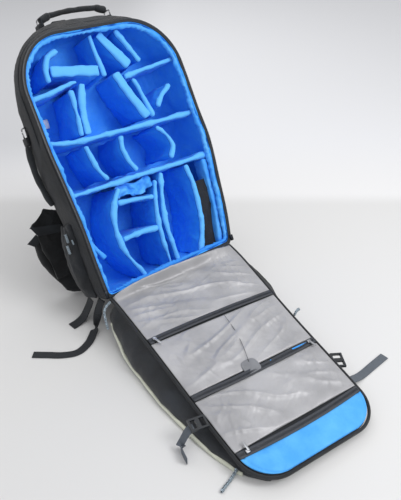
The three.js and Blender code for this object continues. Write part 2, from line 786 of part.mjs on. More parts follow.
function lidPoint(across, along, height) {
  const bend = lidSwing / lidTurnLength;
  const turned = min(along, lidTurnLength);
  const turn = bend * turned;
  const rest = along - turned;
  const middleX = lidShift + (1 - cos(turn)) / bend + rest * sin(turn);
  const middleY = -sin(turn) / bend - rest * cos(turn);
  return new THREE.Vector3(middleX + across * cos(turn), middleY + across * sin(turn), height);
}

// Half width of the lid at a place along it, with the lid's outline drawn in by a margin
function lidHalf(along, margin = 0) {
  const side = lerp(lidHingeHalfWidth, lidEndHalfWidth, along / lidLength);
  const past = along - (lidLength - lidCornerRadius);
  if (past <= 0) return side - margin;
  return side - lidCornerRadius + sqrt(max((lidCornerRadius - margin) ** 2 - past ** 2, 0));
}

// Slow waves of the padded lid
function lidLift(across, along) {
  return lidWave * sin(2.6 * PI * (along / lidLength) + across / lidHingeHalfWidth);
}

// A piece of the lid from one place along it to another, rounded with the lid's far corners
function lidSlab(columns, rows, from, to, margin, upper, lower) {
  const bendFrom = lidLength - lidCornerRadius;
  const radius = lidCornerRadius - margin;
  const turnAt = (along) => Math.asin(clamp((along - bendFrom) / radius, 0, 1));
  const straight = max(min(bendFrom, to) - from, 0);
  const total = straight + radius * (turnAt(to) - turnAt(from));
  const place = (height) => (u, v) => {
    const gone = v * total;
    const along = gone <= straight
      ? from + gone
      : bendFrom + radius * sin(turnAt(from) + (gone - straight) / radius);
    const across = (2 * u - 1) * lidHalf(along, margin);
    return lidPoint(across, along, lidLift(across, along) + height(u, v));
  };
  return slab(columns, rows, place(upper), place(lower));
}

const panelMargin = bindingWidth + 3 * clearance;
const panelEnd = lidLength - panelMargin;
add(lid, 'lid_panel', lidSlab(8, 13, lidStart, panelEnd, panelMargin, () => 0, () => -lidThickness), blackCloth);

function lidBinding() {
  const inner = bindingWidth / 2;
  const straightEnd = lidLength - lidCornerRadius;
  const right = [];
  for (let i = 0; i <= 10; i++) {
    const along = lerp(lidStart, straightEnd, i / 10);
    right.push([lidHalf(along) - inner, along]);
  }
  const cornerX = lidHalf(straightEnd) - lidCornerRadius;
  const radius = lidCornerRadius - inner;
  for (let i = 1; i <= 6; i++) {
    const turn = (PI / 2) * (i / 6);
    right.push([cornerX + radius * cos(turn), straightEnd + radius * sin(turn)]);
  }
  const end = [0.5, 0, -0.5].map((share) => [share * cornerX, lidLength - inner]);
  const left = right.map(([across, along]) => [-across, along]).reverse();
  const path = [...right, ...end, ...left].map(([across, along]) => lidPoint(
    across, along, lidLift(across, along) - lidThickness / 2 + 1));
  return sweep(path, roundSection(6), bindingThickness / 2, bindingWidth / 2, new THREE.Vector3(0, 0, 1));
}
add(lid, 'lid_binding', lidBinding(), blackCloth);

// Mesh pockets: slack cloth, sewn down at the sides and gathered into soft cross folds
for (const [row, { name, from, to }] of meshPockets.entries()) {
  const edge = (u, v) => (1 - abs(2 * u - 1) ** 6) * sqrt(sin(PI * clamp(v, 0, 1)));
  const fold = (u, v) => 0.55 + 0.25 * sin(7 * u + 5 * v + 2 * row) + 0.2 * sin(13 * u - 4 * v + row);
  const hingeFold = (v) => (row === 0 ? hingeFoldHeight * exp(-(((v - hingeFoldPlace) / hingeFoldWidth) ** 2)) : 0);
  const upper = (u, v) => lidSeat + pocketCloth + edge(u, v) * (pocketFullness * fold(u, v) + hingeFold(v));
  const start = max(from * lidLength, lidStart);
  add(lid, name, lidSlab(12, 6, start, to * lidLength, panelMargin + clearance, upper, () => lidSeat), greyMesh);
}

for (const { name, along } of lidZips) {
  const start = along * lidLength - zipWidth / 2;
  const upper = () => lidSeat + zipThickness;
  add(lid, name, lidSlab(8, 1, start, start + zipWidth, panelMargin + clearance, upper, () => lidSeat), blackZip);
}

const endPadStart = lidZips[2].along * lidLength + zipWidth / 2 + 2 * clearance;
const endPadMargin = panelMargin + clearance;
add(lid, 'lid_end_pad', lidSlab(12, 6, endPadStart, lidLength - endPadMargin, endPadMargin,
  (u, v) => lidSeat + endPadThickness * (0.35 + 0.65 * (1 - (2 * u - 1) ** 6) * (1 - (2 * v - 1) ** 4)),
  () => lidSeat), paleBlueLining);

// Round pull tab over the middle zip
function lidTab() {
  const middle = lidZips[1].along * lidLength - tabShort;
  const rise = lidSeat + zipThickness + tabSeat;
  const ring = (radius, height) => Array.from({ length: 16 }, (_, i) => {
    const turn = (2 * PI * i) / 16;
    const flat = max(sin(turn), -tabFlat);
    return lidPoint(tabAcross + radius * cos(turn), middle - radius * flat,
      lidLift(tabAcross, middle) + rise + height);
  });
  return loft([ring(tabRadius, 0), ring(tabRadius, tabThickness)]);
}
add(lid, 'lid_tab', lidTab(), greyWebbing);

// Outer pocket under the lid: full near the hinge, flat where it lies on the floor
function floorUnderLid(y) {
  return -(hingeHeight + y * sin(lidSlope)) / cos(lidSlope);
}

const swellLeft = curveOf(pocketSections, 'along', 'left');
const swellRight = curveOf(pocketSections, 'along', 'right');

function frontPocket() {
  const from = lidStart + frontPocketStart;
  const to = lidLength - frontPocketEnd;
  const rings = Array.from({ length: 15 }, (_, k) => {
    const share = k / 14;
    const along = lerp(from, to, share);
    const seat = lidHalf(along) - panelMargin - frontPocketMargin;
    const point = (side, drop, out) => {
      const swell = side < 0 ? swellLeft(share) : swellRight(share);
      const across = side * (seat + out * swell * frontPocketSpread);
      const at = lidPoint(across, along, 0);
      const top = lidLift(across, along) - lidThickness - lidSeat;
      const low = floorUnderLid(at.y) * lerp(0.7, 1, smoothstep(share, 0, 0.25));
      at.z = lerp(top, low, drop);
      return at;
    };
    const right = pocketSides.map(({ drop, swell }) => point(1, drop, swell));
    const left = pocketSides.map(({ drop, swell }) => point(-1, drop, swell)).reverse();
    const top = [-0.6, -0.2, 0.2, 0.6].map((side) => point(side, 0, 0));
    return [...right, ...left, ...top];
  });
  return loft(rings);
}
add(lid, 'front_pocket', frontPocket(), blackCloth);

// Webbing, buckles and cord pulls, placed from the hinge's middle on the floor

function route(points) {
  return points.map(([x, y, z]) => new THREE.Vector3(x, y, z));
}

function webbing(points, width, steps, across) {
  return sweep(smoothPath(route(points), steps), flatSection, width / 2, webbingThickness / 2, across);
}

const level = (degrees) => new THREE.Vector3(cos(degToRad(degrees)), sin(degToRad(degrees)), 0);
add(floor, 'floor_strap_long', webbing(longStrapRoute, webbingWidth, 16,
  (share) => level(lerp(-70, 112, smoothstep(share, 0.05, 0.45)))), blackWebbing);
add(floor, 'floor_strap_short', webbing(shortStrapRoute, shortWebbingWidth, 10, level(90)), blackWebbing);
const upright = new THREE.Vector3(0, 0, 1);
add(floor, 'lid_strap_left', webbing(leftTailRoute, webbingWidth, 12,
  (share) => level(74).lerp(upright, smoothstep(share, 0.4, 0.75))), greyWebbing);
add(floor, 'lid_strap_right', webbing(rightTailRoute, webbingWidth, 12, level(90)), greyWebbing);

// Ladder buckle: a plate with a slot on each side of its crossbar
function buckle() {
  let plate = toManifold(new THREE.BoxGeometry(buckleLength, buckleWidth, buckleThickness));
  for (const side of [-1, 1]) {
    const slot = new THREE.BoxGeometry(buckleLength * 0.28, buckleWidth * 0.7, buckleThickness * 2);
    slot.translate((side * buckleLength) / 4, 0, 0);
    plate = plate.subtract(toManifold(slot));
  }
  return fromManifold(plate);
}
const buckleLeft = add(lid, 'lid_buckle_left', buckle(), blackPlastic);
buckleLeft.position.copy(lidPoint(-lidHalf(buckleLeftAlong) - buckleWidth * 0.55, buckleLeftAlong, buckleLeftRise));
buckleLeft.rotation.z = degToRad(-14);
const buckleRight = add(lid, 'lid_buckle_right', buckle(), blackPlastic);
buckleRight.position.copy(lidPoint(lidHalf(buckleRightAlong) + buckleWidth * 0.45, buckleRightAlong, -buckleRightDrop));
buckleRight.rotation.z = degToRad(60);

const pullRadius = pullDiameter / 2;
const cords = new THREE.Group();
bag.add(cords);
for (const [name, points] of [['hinge_cord_pull', hingePullRoute], ['front_cord_pull', frontPullRoute]]) {
  add(cords, name, sweep(smoothPath(route(points), 8), roundSection(8), pullRadius, pullRadius,
    new THREE.Vector3(0, 0, 1)), cordBlend);
}

// Origin under the middle of the bag, its cord pulls not counted
bag.updateMatrixWorld(true);
const reach = new THREE.Box3();
for (const group of [body, lid, floor]) reach.expandByObject(group, true);
const middle = reach.getCenter(new THREE.Vector3());
bag.position.set(-middle.x, -middle.y, -reach.min.z);

export default bag;
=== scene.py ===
import math

import bmesh
import bpy
import numpy as np
from mathutils import Matrix, Vector, noise


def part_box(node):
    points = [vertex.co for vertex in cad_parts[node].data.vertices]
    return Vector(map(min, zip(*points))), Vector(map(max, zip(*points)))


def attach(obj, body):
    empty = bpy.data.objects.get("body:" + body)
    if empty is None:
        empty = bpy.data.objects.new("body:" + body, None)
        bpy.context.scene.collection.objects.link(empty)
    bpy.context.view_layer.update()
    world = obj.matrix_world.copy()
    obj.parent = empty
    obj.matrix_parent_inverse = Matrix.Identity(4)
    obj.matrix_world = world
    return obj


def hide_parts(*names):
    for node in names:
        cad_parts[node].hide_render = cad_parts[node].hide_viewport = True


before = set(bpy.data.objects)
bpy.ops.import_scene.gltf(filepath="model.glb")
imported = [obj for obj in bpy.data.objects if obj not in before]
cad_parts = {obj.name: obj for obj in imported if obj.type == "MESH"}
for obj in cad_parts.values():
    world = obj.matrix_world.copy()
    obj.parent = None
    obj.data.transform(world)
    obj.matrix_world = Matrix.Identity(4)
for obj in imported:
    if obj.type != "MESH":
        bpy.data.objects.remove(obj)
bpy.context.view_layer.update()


# Stance: the bag lies open on a pale studio floor. The body leans back from the hinge,
# the lid slopes down in front of it, and the camera looks down on both from the left.
hinge = np.array([0.06605, 0.08947, 0.10906])
lean = math.radians(29)
lid_slope = math.radians(8.8)

floor_below_hinge = 0.109
camera_from_hinge = (-0.7015, -0.9698, 0.861)
camera_pitch = math.radians(55.9)
heading = math.radians(39.3)

camera = bpy.data.objects.new("camera", bpy.data.cameras.new("camera"))
bpy.context.scene.collection.objects.link(camera)
bpy.context.scene.camera = camera
camera.data.lens = 41.26
camera.data.sensor_width = 36
camera.location = Vector(hinge) + Vector(camera_from_hinge)
camera.rotation_euler = (camera_pitch, 0, -heading)


def from_hinge_mm(points):
    """Points in millimetres from the hinge, given in metres in the row frame."""
    return np.asarray(points) / 1000 + hinge


def tilted(points, angle):
    """Points in millimetres from the hinge, turned about it and given in the row frame."""
    x, y, z = np.moveaxis(np.asarray(points, float), -1, 0)
    c, s = math.cos(angle), math.sin(angle)
    return from_hinge_mm(np.stack([x, y * c - z * s, y * s + z * c], -1))


def on_body(points):
    return tilted(points, -lean)


def on_lid(points):
    return tilted(points, lid_slope)


def on_floor(points):
    return np.asarray(points, float) / 1000 + [hinge[0], hinge[1], hinge[2] - floor_below_hinge]


# Cord pulls: round braided cord, two tones of grey blue, sewn to the zip sliders. One hangs
# from the hinge end of the main zip and one lies on the floor by the lid's far corner.
class Value:
    """A shader socket that can be used in sums."""

    def __init__(self, finish, socket):
        self.finish = finish
        self.socket = socket

    def maths(self, operation, a, b):
        return self.finish.node("Math", {"operation": operation}, {0: a, 1: b})

    def __add__(self, other):
        return self.maths("ADD", self, other)

    def __sub__(self, other):
        return self.maths("SUBTRACT", self, other)

    def __rsub__(self, other):
        return self.maths("SUBTRACT", other, self)

    def __mul__(self, other):
        return self.maths("MULTIPLY", self, other)

    __radd__ = __add__
    __rmul__ = __mul__

    def wave(self, length):
        return self.maths("SINE", self * (2 * math.pi / length), 0)

    def eased(self, low, high):
        return self.finish.node(
            "MapRange", {"interpolation_type": "SMOOTHSTEP"},
            {"Value": self, "From Min": low, "From Max": high},
        )


class Finish:
    """A material that is put together node by node."""

    def __init__(self, name):
        self.material = bpy.data.materials.new(name)
        self.material.use_nodes = True
        self.tree = self.material.node_tree
        self.tree.nodes.clear()

    def node(self, kind, settings=None, sockets=None, out=0):
        made = self.tree.nodes.new("ShaderNode" + kind)
        for name, value in (settings or {}).items():
            setattr(made, name, value)
        for name, value in (sockets or {}).items():
            if isinstance(value, Value):
                self.tree.links.new(value.socket, made.inputs[name])
            else:
                made.inputs[name].default_value = value
        return Value(self, made.outputs[out])

    def place(self):
        """Where a point is, in metres in the row frame, as three values."""
        spot = self.node("TexCoord", out="Object")
        return [self.node("SeparateXYZ", None, {0: spot}, axis) for axis in "XYZ"]

    def from_hinge(self, angle):
        """Across, away from the hinge and up, in metres, in a part that is turned about the hinge."""
        x, y, z = self.place()
        y, z = y - hinge[1], z - hinge[2]
        c, s = math.cos(angle), math.sin(angle)
        return x - hinge[0], y * c + z * s, z * c - y * s

    def mottle(self, size, detail=2.0, spot=None, rough=0.5):
        """Cloudy noise from 0 to 1, with clouds of that size in metres."""
        spot = spot or self.node("TexCoord", out="Object")
        return self.node("TexNoise", None,
                         {"Vector": spot, "Scale": 1 / size, "Detail": detail, "Roughness": rough})

    def mix(self, share, first, second):
        return self.node("Mix", {"data_type": "RGBA"}, {0: share, 6: first, 7: second}, 2)

    def bump(self, height, depth, under=None):
        sockets = {"Height": height, "Distance": depth, "Strength": 1.0}
        if under is not None:
            sockets["Normal"] = under
        return self.node("Bump", None, sockets)

    def surface(self, **sockets):
        named = {name.replace("_", " "): value for name, value in sockets.items()}
        shader = self.node("BsdfPrincipled", None, named)
        output = self.tree.nodes.new("ShaderNodeOutputMaterial")
        self.tree.links.new(shader.socket, output.inputs[0])
        return self.material


def paint(code):
    """A colour written as six hex digits, as the linear values that shaders take."""
    shares = [int(code[i : i + 2], 16) / 255 for i in (0, 2, 4)]
    return (*[s / 12.92 if s <= 0.04045 else ((s + 0.055) / 1.055) ** 2.4 for s in shares], 1.0)


def piece(name, points, faces, material, replaces=()):
    """A finished mesh that rides on the bag and stands for its solids."""
    mesh = bpy.data.meshes.new(name)
    mesh.from_pydata([tuple(p) for p in np.asarray(points, float).reshape(-1, 3)], [], faces)
    mesh.validate()
    mesh.update()
    mesh.shade_smooth()
    made = bpy.data.objects.new(name, mesh)
    bpy.context.scene.collection.objects.link(made)
    mesh.materials.append(material)
    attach(made, "root")
    if replaces:
        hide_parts(*replaces)
    return made


def quads(rows, columns, around=False, endless=False):
    """Faces between rows of points: around joins each row's ends, endless joins the last row to the first."""
    last = columns if around else columns - 1
    faces = []
    for j in range(rows if endless else rows - 1):
        here, there = j * columns, ((j + 1) % rows) * columns
        for i in range(last):
            k = (i + 1) % columns
            faces.append((here + i, here + k, there + k, there + i))
    return faces


def smooth_line(points, count):
    """A centripetal Catmull-Rom line through the points, evenly spaced."""
    p = np.asarray(points, float)
    p = np.vstack([2 * p[0] - p[1], p, 2 * p[-1] - p[-2]])
    fine = []
    for a, b, c, d in zip(p[:-3], p[1:-2], p[2:-1], p[3:]):
        t = np.cumsum([0] + [max(np.linalg.norm(v - u), 1e-9) ** 0.5 for u, v in ((a, b), (b, c), (c, d))])
        for s in np.linspace(t[1], t[2], 24, endpoint=False):
            a1 = a + (b - a) * (s - t[0]) / (t[1] - t[0])
            a2 = b + (c - b) * (s - t[1]) / (t[2] - t[1])
            a3 = c + (d - c) * (s - t[2]) / (t[3] - t[2])
            b1 = a1 + (a2 - a1) * (s - t[0]) / (t[2] - t[0])
            b2 = a2 + (a3 - a2) * (s - t[1]) / (t[3] - t[1])
            fine.append(b1 + (b2 - b1) * (s - t[1]) / (t[2] - t[1]))
    return evenly(np.array([*fine, p[-2]]), count)


def evenly(line, count, closed=False):
    """The same line with count points at even distances."""
    line = np.vstack([line, line[:1]]) if closed else line
    gone = np.concatenate([[0], np.cumsum(np.linalg.norm(np.diff(line, axis=0), axis=1))])
    steps = np.linspace(0, gone[-1], count, endpoint=not closed)
    return np.stack([np.interp(steps, gone, line[:, k]) for k in range(line.shape[1])], -1)


def unit(v):
    return v / np.maximum(np.linalg.norm(v, axis=-1, keepdims=True), 1e-12)


def along_line(line, closed=False):
    if closed:
        return unit(np.roll(line, -1, axis=0) - np.roll(line, 1, axis=0))
    return unit(np.gradient(line, axis=0))


def swept(line, across, section, closed=False):
    """Rings of points: section holds (u, v) pairs in the line's units, or one such list for each point."""
    forward = along_line(line, closed)
    across = np.broadcast_to(np.asarray(across, float), line.shape)
    side = unit(across - (across * forward).sum(1, keepdims=True) * forward)
    through = np.cross(forward, side)
    section = np.broadcast_to(np.asarray(section, float), (len(line), *np.shape(section)[-2:]))
    return line[:, None] + section[..., :1] * side[:, None] + section[..., 1:] * through[:, None]


def capped(rings):
    """Points and faces of a tube of rings with closed ends."""
    rows, columns = rings.shape[:2]
    points = np.vstack([rings.reshape(-1, 3), rings[0].mean(0), rings[-1].mean(0)])
    faces = quads(rows, columns, around=True)
    first, last, start = rows * columns, rows * columns + 1, (rows - 1) * columns
    for i in range(columns):
        k = (i + 1) % columns
        faces += [(first, k, i), (last, start + i, start + k)]
    return points, faces


def circle(sides, radius):
    turn = np.arange(sides) * 2 * math.pi / sides
    return np.stack([radius * np.cos(turn), radius * np.sin(turn)], -1)


cord_finish = Finish("braided_cord")
cx, cy, cz = cord_finish.place()
plait = ((cx + cy).wave(0.0042) * (cz * 1.7 - cx).wave(0.0036) * 0.5 + 0.5).eased(0.35, 0.65)
cord_material = cord_finish.surface(
    Base_Color=cord_finish.mix(plait, paint("161B22"), paint("B9CBD8")),
    Roughness=0.75,
    Normal=cord_finish.bump(plait, 0.0006),
)
pull_radius = 2.5
hinge_pull_route = [
    (-196.2, -15, 104.5), (-209, -17, 99), (-219, -22, 90),
    (-224, -32, 77), (-226, -40, 66), (-226.5, -44, 57),
]
front_pull_route = [
    (-222, -494, 12), (-231, -496.5, 6), (-243, -500, 3.2),
    (-254, -503, 3.2), (-263, -505, 3.2), (-272, -508, 3.2),
]
side_pull_route = [(158, -283, 47), (168, -280, 52), (178, -276, 50), (188, -271, 44), (192, -268, 38)]
pull_steps, pull_sides, pull_twist = 40, 16, 0.55
knot_radius = 0.0031


def cord_pull(name, route, nodes=()):
    """A braided cord along a route over the floor, with a ball knot at its end."""
    line = smooth_line(route, pull_steps)
    turn = np.arange(pull_sides) * 2 * math.pi / pull_sides
    twist = np.arange(pull_steps)[:, None] * pull_twist
    radius = pull_radius * (0.82 + 0.6 * np.abs(np.cos(turn[None] - twist)))
    radius[[0, -1]] *= 0.6
    section = np.stack([radius * np.cos(turn), radius * np.sin(turn)], -1)
    points, faces = capped(on_floor(swept(line, (0, 0, 1), section)))
    made = piece(name, points, faces, cord_material, nodes)
    far = on_floor([line[-1]])[0]
    ball = circle(14, 1.0)
    knot = [[far + knot_radius * np.array([u * math.sin(a), v * math.sin(a), math.cos(a)]) for u, v in ball]
            for a in np.linspace(0.15, math.pi - 0.15, 9)]
    points, faces = capped(np.array(knot))
    end = piece(name + "_knot", points, faces, cord_material)


cord_pull("hinge_pull", hinge_pull_route, ["hinge_cord_pull"])
cord_pull("front_pull", front_pull_route, ["front_cord_pull"])
cord_pull("side_pull", side_pull_route)


# Body form: a deep tray with a domed top and a straight hinge edge. The walls draw in
# towards the back and swell between their seams. These sizes serve the shell and all inside it.
rim_height, rim_half, rim_band = 612.0, 212.0, 9.0
top_radius, back_growth, hinge_radius = 122.0, 106.0, 14.0
shell_wall, body_depth, top_rise = 2.5, 181.0, 64.0
back_rounding, bottom_rounding, wall_sag, end_sag = 62.0, 26.0, 5.0, 4.0
flange_depth = 4.0
rim_sections = np.array([
    # up, half, drift, deep
    (0.00, 0.903, 0.017, 1.00), (0.13, 0.941, 0.047, 0.99), (0.27, 0.962, 0.068, 0.98),
    (0.46, 1.000, 0.078, 0.96), (0.60, 0.998, 0.050, 0.93), (0.74, 0.993, 0.038, 0.86),
    (0.88, 0.985, 0.020, 0.76), (1.00, 0.985, 0.000, 0.69),
])
plan_sections = np.array([
    # deep, draw
    (0.00, 0.00), (0.30, -0.05), (0.55, 0.04), (0.75, 0.23), (0.90, 0.55), (1.00, 1.00),
])


def curve_of(places, values):
    """A smooth curve through a table's rows, straight at its two ends."""

    def at(t):
        t = np.clip(np.asarray(t, float), places[0], places[-1])
        i = np.clip(np.searchsorted(places, t, side="right"), 1, len(places) - 1)
        t0, t1 = places[i - 1], places[i]
        first, final = i == 1, i == len(places) - 1
        tp = np.where(first, t1, places[np.maximum(i - 2, 0)])
        vp = np.where(first, values[i], values[np.maximum(i - 2, 0)])
        tn = np.where(final, t0, places[np.minimum(i + 1, len(places) - 1)])
        vn = np.where(final, values[i - 1], values[np.minimum(i + 1, len(places) - 1)])
        half = (t1 - t0) / 2
        wp, wn = half / (t0 - tp), half / (tn - t1)
        p = (t - t0) / (t1 - t0)
        return (
            (-wp * p**3 + 2 * wp * p**2 - wp * p) * vp
            + ((1 + wp) * p**3 + (-1.5 - 2 * wp) * p**2 + (-0.5 + wp) * p + 1) * values[i - 1]
            + ((-1 - wn) * p**3 + (1.5 + wn) * p**2 + 0.5 * p) * values[i]
            + (wn * p**3 - wn * p**2) * vn
        )

    return at


half_share = curve_of(rim_sections[:, 0], rim_sections[:, 1])
drift_share = curve_of(rim_sections[:, 0], rim_sections[:, 2])
depth_share = curve_of(rim_sections[:, 0], rim_sections[:, 3])
draw_share = curve_of(plan_sections[:, 0], plan_sections[:, 1])


def depth_at(up):
    return body_depth * depth_share(np.clip(up / rim_height, 0, 1))


def body_ring(inset, deep, trim=0.0, front=flange_depth + 0.3, fine=1):
    """One ring of points round the body, in the body's millimetres, from the left of the hinge edge."""
    grow = rim_band - back_rounding * float(draw_share(deep)) - inset
    half = rim_half + grow
    top = rim_height + grow + top_rise * deep
    bottom = (-(rim_band - inset) + bottom_rounding * float(draw_share(deep))
              - wall_sag * math.sin(math.pi * deep) * 0.4)
    round_top = min(top_radius + back_growth * deep + grow, half - 2)
    round_low = hinge_radius + (rim_band - inset) * 0.5 + bottom_rounding * deep

    def corner(side, radius, x, z, a, b, steps):
        turn = np.linspace(a, b, steps + 1)
        return np.stack([side * (x + radius * np.cos(turn)), z + radius * np.sin(turn)], -1)

    def straight(a, b, steps):
        return np.linspace(a, b, steps + 1)[1:-1]

    low, high = bottom + round_low, top - round_top
    quarter = math.pi / 2
    x, z = np.vstack([
        straight((-(half - round_low), bottom), (half - round_low, bottom), 24 * fine),
        corner(1, round_low, half - round_low, low, -quarter, 0, 5 * fine),
        straight((half, low), (half, high), 36 * fine),
        corner(1, round_top, half - round_top, high, 0, quarter, 18 * fine),
        straight((half - round_top, top), (-(half - round_top), top), 24 * fine),
        corner(-1, round_top, half - round_top, high, quarter, 0, 18 * fine),
        straight((-half, high), (-half, low), 36 * fine),
        corner(-1, round_low, half - round_low, low, 0, -quarter, 5 * fine),
    ]).T
    rise = np.clip(z / rim_height, 0, 1)
    sag = wall_sag * math.sin(math.pi * deep) * (0.6 + 0.4 * np.cos(4 * math.pi * rise))
    bow = end_sag * deep * (1 - (x / half) ** 2) * (2 * rise - 1)
    return np.stack([
        rim_half * drift_share(rise) + (x + sag * x / half) * half_share(rise),
        front + deep * (depth_at(z) - trim - front),
        z + bow,
    ], -1)


def back_wall(ring):
    """Rows of points that close a ring from side to side, for a back that follows the depth."""
    rows = [np.linspace(ring[11 - k], ring[11 + k], 25) for k in range(12, 72)]
    rows[0] = ring[np.arange(-1, 24)]
    rows[-1] = ring[np.arange(106, 81, -1)]
    return np.array(rows)


def crumple(made, layers, least=-1.0, most=1.0):
    """Moves points along their normals by layers of (size, depth, stretch), in metres.

    A negative size asks for sharp folds of that size in place of soft swells, and no point
    goes below the floor."""
    mesh = made.data
    count = len(mesh.vertices)
    spots, normals = np.zeros(count * 3), np.zeros(count * 3)
    mesh.vertices.foreach_get("co", spots)
    mesh.vertices.foreach_get("normal", normals)
    spots, normals = spots.reshape(-1, 3), normals.reshape(-1, 3)
    move = np.zeros(count)
    for k, (size, depth, stretch) in enumerate(layers):
        asked = spots / abs(size) * np.asarray(stretch) + 7.3 * (k + 1)
        swell = np.array([noise.noise(Vector(p)) for p in asked])
        move += depth * (swell if size > 0 else np.clip(1 - 2.4 * np.abs(swell), 0, 1) ** 2)
    moved = spots + np.clip(move, least, most)[:, None] * normals
    moved[:, 2] = np.maximum(moved[:, 2], np.minimum(spots[:, 2], 0.0003))
    mesh.vertices.foreach_set("co", moved.ravel())
    mesh.update()
    return made


# Shell: a hard padded tray in matt black ballistic cloth, sewn from a side gusset and a back
# panel, with a piped seam where they meet and soft creases over the foam.
def black_cloth(name, tone="0F1217", light="1A1F26", weave=0.0011, rough=0.72):
    finish = Finish(name)
    x, y, z = finish.place()
    threads = (x + z * 0.3).wave(weave) * (y + z).wave(weave)
    cloud = finish.mottle(0.07, 3)
    wear = finish.mottle(0.012, 4, rough=0.7).eased(0.58, 0.85)
    tint = finish.mix(cloud.eased(0.3, 0.7), paint(tone), paint(light))
    tint = finish.mix(wear * 0.25, tint, paint("2E343C"))
    creases = finish.bump(finish.mottle(0.03, 3), 0.0016)
    return finish.surface(
        Base_Color=tint,
        Roughness=rough + cloud * 0.16,
        Normal=finish.bump(threads * 0.5 + 0.5, 0.00035, creases),
        Sheen_Weight=0.12,
        Sheen_Roughness=0.5,
    )


shell_material = black_cloth("ballistic_cloth")
shell_steps = [0, 0.03, 0.08, 0.16, 0.25, 0.34, 0.43, 0.52, 0.6, 0.68, 0.75, 0.81, 0.86, 0.9, 0.94, 0.97, 1]


def tray(name, outer, outer_trim, inner, inner_trim, material, replaces):
    outside = [body_ring(outer, deep, outer_trim) for deep in reversed(shell_steps)]
    inside = [body_ring(inner, deep, inner_trim) for deep in shell_steps]
    rings = np.array(outside + inside)
    rows, columns = rings.shape[:2]
    faces = quads(rows, columns, around=True)
    points = [rings.reshape(-1, 3)]
    for ring, flip in ((outside[0], True), (inside[-1], False)):
        start = sum(len(p) for p in points)
        wall = back_wall(ring)
        points.append(wall.reshape(-1, 3))
        faces += [tuple(start + i for i in (f if flip else f[::-1])) for f in quads(*wall.shape[:2])]
    made = piece(name, on_body(np.vstack(points)), faces, material, replaces)
    weld(made)
    return made


def settled(made):
    """Applies an object's modifiers and gives its new mesh."""
    bpy.context.view_layer.update()
    fine = bpy.data.meshes.new_from_object(made.evaluated_get(bpy.context.evaluated_depsgraph_get()))
    made.modifiers.clear()
    made.data = fine
    fine.shade_smooth()
    return fine


def refined(made):
    """The same mesh with every face cut in four and its corners eased."""
    made.modifiers.new("finer", "SUBSURF").levels = 1
    settled(made)
    return made


def weld(made, reach=0.00005):
    """Joins points that lie on each other, and turns the faces outward."""
    work = bmesh.new()
    work.from_mesh(made.data)
    bmesh.ops.remove_doubles(work, verts=work.verts, dist=reach)
    bmesh.ops.recalc_face_normals(work, faces=work.faces)
    work.to_mesh(made.data)
    work.free()
    made.data.shade_smooth()
    made.data.update()


shell = tray("shell", 0, 0, shell_wall, shell_wall, shell_material, ["body_shell"])
refined(shell)
crumple(shell, [(0.11, 0.0042, (1, 1, 0.45)), (0.04, 0.0014, (1, 1, 0.6)), (-0.07, 0.0022, (1, 1, 0.5))],
        least=-0.001)


def line_of_body(inset, deep, count, front=flange_depth + 0.3, fine=4):
    return evenly(body_ring(inset, deep, front=front, fine=fine), count, closed=True)


def outward_of(line):
    forward = along_line(line, closed=True)
    return np.stack([forward[:, 2], np.zeros(len(line)), -forward[:, 0]], -1)


def piping(name, deep, radius, material, out=0.4, count=700):
    """A sewn cord of cloth round the body."""
    line = line_of_body(0, deep, count)
    line = line + outward_of(line) * out
    rings = swept(line, (0, 1, 0), circle(8, radius), closed=True)
    faces = quads(count, 8, around=True, endless=True)
    return piece(name, on_body(rings).reshape(-1, 3), faces, material)


def plain_material(name, cloud, tones, rough, uneven=None, bump=None, metallic=0.0):
    """A colour that clouds over into a second one. Cloud, uneven and bump start with a noise's size
    and detail; uneven goes on with what it adds to the roughness, and bump with its depth."""
    finish = Finish(name)
    tone, light = tones
    tint = finish.mix(finish.mottle(*cloud), paint(tone), paint(light))
    sockets = {"Base_Color": tint, "Metallic": metallic}
    if uneven:
        rough = rough + finish.mottle(*uneven[:2]) * uneven[2]
    if bump:
        sockets["Normal"] = finish.bump(finish.mottle(*bump[:2]), bump[2])
    return finish.surface(Roughness=rough, **sockets)


seam_material = plain_material("seam_cord", (0.004, 2), ("1B1D21", "33373D"), 0.6, bump=(0.0012, 1, 0.0002))
piping("seam_back", 0.93, 2.2, seam_material)
piping("seam_front", 0.14, 1.5, seam_material)


# Lining: foam-backed blue nylon, tacked to the shell so that it puckers between the walls. A black
# zip tape with coil teeth closes the rim, and a pale gathered roll of lining hides its inner edge.
def blue_cloth(name, tone="3A96F8", shade="2A84F0", edge=None, low=None):
    finish = Finish(name)
    cloud = finish.mottle(0.045, 3)
    tint = finish.mix(cloud.eased(0.3, 0.75), paint(shade), paint(tone))
    if edge or low:
        _, away, up = finish.from_hinge(-lean)
    if edge:
        seam = away.eased(0.0262, 0.0272) * (1 - away.eased(0.0282, 0.0295))
        tint = finish.mix(seam * 0.8, tint, paint("0C48B8"))
        # Partly painted highlight: the front 26 mm is the bound edge, painted paler where it faces the light.
        tint = finish.mix(1 - away.eased(0.0255, 0.0265), tint, paint(edge))
    if low:
        # Painted shade: the bottom 30 mm of the body, beside the hinge, is painted darker where the lid's
        # fold shades it.
        tint = finish.mix(1 - up.eased(0.004, 0.03), tint, paint(low))
    fine = finish.mottle(0.006, 3)
    creases = finish.bump(finish.mottle(0.022, 4, rough=0.55), 0.0028)
    return finish.surface(
        Base_Color=tint,
        Roughness=0.55 + fine * 0.15,
        Normal=finish.bump(fine, 0.0003, creases),
        Specular_IOR_Level=0.3,
        Sheen_Weight=0.06,
        Sheen_Roughness=0.4,
    )


lining_material = blue_cloth("blue_nylon", "46ACFF", "38A0FC")
lining = tray("lining", 7.0, 7.0, rim_band, rim_band, lining_material, ["padded_liner"])
refined(lining)
crumple(lining, [(0.05, 0.004, (1, 1, 1)), (-0.06, 0.0035, (1, 0.6, 1)), (-0.03, 0.0018, (1, 1, 0.6))],
        least=-0.0008, most=0.0034)

